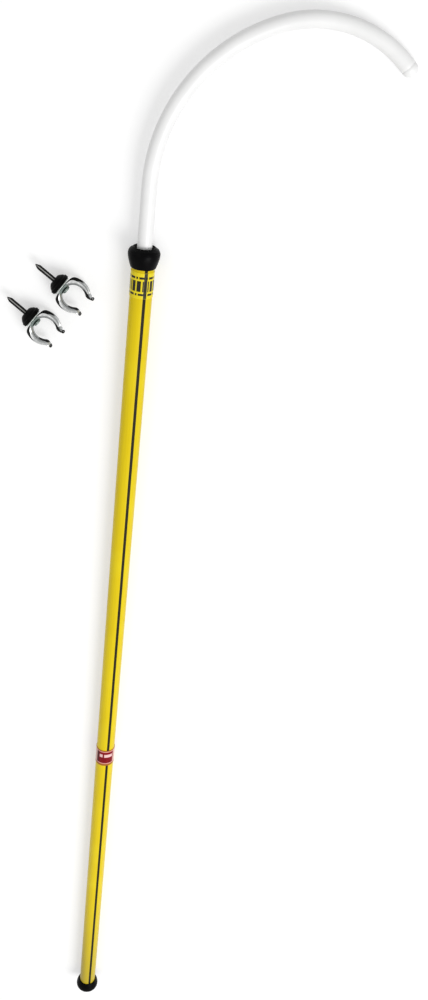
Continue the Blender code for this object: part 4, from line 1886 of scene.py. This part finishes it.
@dataclass
class WallClip:
    """A wall clip that lies beside the pole."""

    place: ClipPlace
    finishes: Finishes
    bend_x: float = -0.0152
    bend: Point = (0.0074, 0.0120)

    def copy_of(self, pattern: bpy.types.Object, name: str, mirrored: bool = False) -> bpy.types.Object:
        """Copy a modelled pattern, with its own mesh, and lay the copy where this clip lies.

        Args:
            pattern: The piece in the clip's frame.
            name: Name of the copy.
            mirrored: Whether it is the other side's arm.

        Returns:
            The copy.
        """
        copy = pattern.copy()
        copy.data = pattern.data.copy()
        copy.name = name
        bpy.context.scene.collection.objects.link(copy)
        bench = Bench(name)
        bench.take(copy)
        if mirrored:
            bench.lay(Matrix.Diagonal((1, -1, 1, 1)))
            bench.open()
            bench.seal()
            bench.smooth(60)
        bench.lay(self.place.frame)
        return copy

    def keep_places(self, arm: bpy.types.Object) -> None:
        """Store where each point of an arm lies at rest, in the clip's frame.

        Args:
            arm: The spring arm.
        """
        kept = arm.data.attributes.new(REST_PLACE, "FLOAT_VECTOR", "POINT")
        back = self.place.frame.inverted()
        for store, point in zip(kept.data, arm.data.vertices):
            store.vector = back @ point.co

    def steel(self) -> dict[str, Finish]:
        """The finishes that follow this clip's frame.

        Returns:
            The finishes by name.
        """
        which, frame = self.place.name, self.place.frame
        zinc = {"light": (0.30, 0.34, 0.32), "shade": (0.20, 0.24, 0.22), "tint": (0.26, 0.33, 0.29)}
        pale = {"light": (0.66, 0.69, 0.67), "shade": (0.50, 0.54, 0.51), "tint": (0.46, 0.54, 0.49)}
        return {
            "strip": StripFinish(f"{which}_spring_steel", frame),
            "zinc": SteelFinish(
                f"{which}_zinc_steel", frame, **zinc, low_roughness=0.30, high_roughness=0.45
            ),
            "pale": SteelFinish(
                f"{which}_face_washer_steel", frame, **pale, low_roughness=0.28, high_roughness=0.42
            ),
            "screw": ScrewFinish(f"{which}_black_screw", frame),
        }

    def build(self, patterns: dict[str, bpy.types.Object]) -> None:
        """Copy, place and dress the clip's pieces.

        Args:
            patterns: The modelled pieces by name, in the clip's frame.
        """
        which = self.place.name
        steel = self.steel()
        for side in Side:
            word = side.name.lower()
            arm = self.copy_of(patterns["strip"], f"{which}_spring_strip_{word}", side is Side.RIGHT)
            bend = [Vector((self.bend_x, side.value * y, 0)) for y in self.bend]
            start, end = (self.place.frame @ point for point in bend)
            self.keep_places(arm)
            tuple(start)
            tuple(end)
            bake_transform(arm)
            dress(arm, steel["strip"], "spring_steel", f"{which}_clip_{word}_arm", f"{which}_clip_saddle")
        for name, finish, slot, body in (
            ("head_washer", steel["zinc"], "zinc_steel", f"{which}_clip"),
            ("face_washer", steel["pale"], "zinc_steel", f"{which}_clip"),
            ("wall_cup", self.finishes.cup, "black_cup", f"{which}_clip"),
            ("screw", steel["screw"], "black_screw", f"{which}_screw"),
        ):
            piece = self.copy_of(patterns[name], f"{which}_{name}_piece")
            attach(piece, body)
            dress(piece, finish, slot, f"{which}_clip_{name}")


def model_patterns() -> dict[str, bpy.types.Object]:
    """Model what both clips share, once.

    Returns:
        The pieces by name, in the clip's frame.
    """
    screws = ScrewSet()
    return {
        "strip": SpringStrip().half("strip_pattern"),
        "head_washer": screws.washer("head_washer_pattern", screws.head_washer),
        "face_washer": screws.washer("face_washer_pattern", screws.face_washer),
        "wall_cup": screws.cup(),
        "screw": screws.screw(),
    }


@dataclass
class HiddenParts:
    """The carried-over nodes that the outer pieces cover, each with its own finish."""

    finishes: Finishes
    nodes: dict

    def build(self) -> None:
        """Give each node its material."""
        chosen = {
            "foam_core": self.finishes.foam,
            "foot_plug": self.finishes.nylon,
            "hook_socket": self.finishes.nylon,
            "collar_seal": self.finishes.seal,
            "hook_core": self.finishes.rod,
            "cross_pin_upper": self.finishes.rod,
            "cross_pin_lower": self.finishes.rod,
        }
        for name, finish in chosen.items():
            mesh = self.nodes[name].data
            mesh.materials.clear()
            mesh.materials.append(finish.material())
            log.info("%s: carried over, finish %s", name, finish.name)


# Stage, light and camera


@dataclass
class Studio:
    """A plain pale floor, soft light and the photograph's camera."""

    floor_height: float
    floor_half: float = 8.0
    floor_colour: Colour = (0.66, 0.66, 0.66)
    floor_lift: float = 0.42
    ambient: float = 0.58
    key_power: float = 52.0
    key_place: Triple = (1.8, 0.5, 2.2)
    key_size: float = 1.6
    fill_power: float = 4.0
    fill_place: Triple = (-1.6, 2.4, 2.4)
    fill_size: float = 2.0
    aim: Triple = (0.05, 1.1, 0.0)
    camera_place: Triple = (0.13864, 2.04272, 1.34613)
    camera_right: Triple = (0.99157313, 0.11194372, -0.06520219)
    camera_up: Triple = (-0.12954814, 0.85682728, -0.49906342)
    camera_back: Triple = (0.0, 0.5033047, 0.86410901)
    lens: float = 36.0
    sensor: float = 36.0

    def floor(self) -> None:
        """Lay the floor, which is lifted a little towards white for the camera."""
        bench = Bench("floor")
        bpy.ops.mesh.primitive_plane_add(size=2 * self.floor_half, location=(0, 0, self.floor_height))
        bench.begin()
        bpy.ops.mesh.subdivide(number_cuts=7)
        bench.close()
        floor = bench.piece
        material = bpy.data.materials.new("pale_floor")
        tree = Tree(material)
        grain = tree.noise(tree.place(), 40, 3)
        tree.surface(
            Base_Color=tree.mix(grain, self.floor_colour, tuple(c * 0.985 for c in self.floor_colour)),
            Roughness=0.9,
            Specular_IOR_Level=0.1,
            Emission_Color=(1.0, 1.0, 1.0),
            Emission_Strength=tree.seen() * self.floor_lift,
        )
        floor.data.materials.append(material)
        floor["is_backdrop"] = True

    def world(self) -> None:
        """Surround the scene with soft light that is white to the camera and to polished metal."""
        world = bpy.data.worlds.new("studio")
        tree = Tree(world)
        level = tree.seen() * (1 - self.ambient) + self.ambient
        tree.surface(Color=(1.0, 1.0, 1.0), Strength=level)
        bpy.context.scene.world = world

    def lamp(self, name: str, place: Triple, power: float, size: float) -> None:
        """Hang a soft square lamp that faces the pole.

        Args:
            name: Name of the lamp.
            place: Where it hangs.
            power: Its power in watts.
            size: Width of its face.
        """
        data = bpy.data.lights.new(name, "AREA")
        data.energy = power
        data.size = size
        lamp = bpy.data.objects.new(name, data)
        bpy.context.scene.collection.objects.link(lamp)
        lamp.location = place
        lamp.rotation_euler = (Vector(self.aim) - Vector(place)).to_track_quat("-Z", "Y").to_euler()

    def camera(self) -> None:
        """Set the camera where the photograph was taken from."""
        data = bpy.data.cameras.new("photograph_view")
        data.lens = self.lens
        data.sensor_width = self.sensor
        data.sensor_fit = "AUTO"
        data.clip_start = 0.01
        data.clip_end = 50.0
        camera = bpy.data.objects.new("photograph_view", data)
        bpy.context.scene.collection.objects.link(camera)
        axes = Matrix((self.camera_right, self.camera_up, self.camera_back)).transposed()
        camera.matrix_world = Matrix.Translation(self.camera_place) @ axes.to_4x4()
        bpy.context.scene.camera = camera

    def build(self) -> None:
        """Set up the stage."""
        self.floor()
        self.world()
        self.lamp("key_light", self.key_place, self.key_power, self.key_size)
        self.lamp("fill_light", self.fill_place, self.fill_power, self.fill_size)
        self.camera()
        bpy.context.scene.view_settings.view_transform = "Standard"
        log.info("studio: floor at %.4f m", self.floor_height)


def corners_of(box: tuple[Vector, Vector]) -> list[list[float]]:
    """A box as plain lists of numbers."""
    return [[float(value) for value in corner] for corner in box]


def clear_startup() -> None:
    """Remove what Blender's startup file holds."""
    for obj in list(bpy.data.objects):
        bpy.data.objects.remove(obj, do_unlink=True)


def main() -> None:
    """Build the scene in order: the frame, the pole, the clips and the studio."""
    logging.basicConfig(level=logging.INFO, format="%(name)s: %(message)s")
    clear_startup()
    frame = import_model()
    cad_box = corners_of(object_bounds())
    finishes = Finishes()
    TubeAssembly(finishes).build()
    RubberEnds(finishes).build()
    Hook(finishes).build()
    HiddenParts(finishes, frame["nodes"]).build()
    patterns = model_patterns()
    for place in (
        ClipPlace("upper", -0.0950, 1.5558, -35.0),
        ClipPlace("lower", -0.1349, 1.5018, -36.0),
    ):
        WallClip(place, finishes).build(patterns)
    for pattern in patterns.values():
        bpy.data.objects.remove(pattern, do_unlink=True)
    Studio(floor_height=cad_box[0][2]).build()
    Bench.clear_selection()


if __name__ == "__main__":
    main()
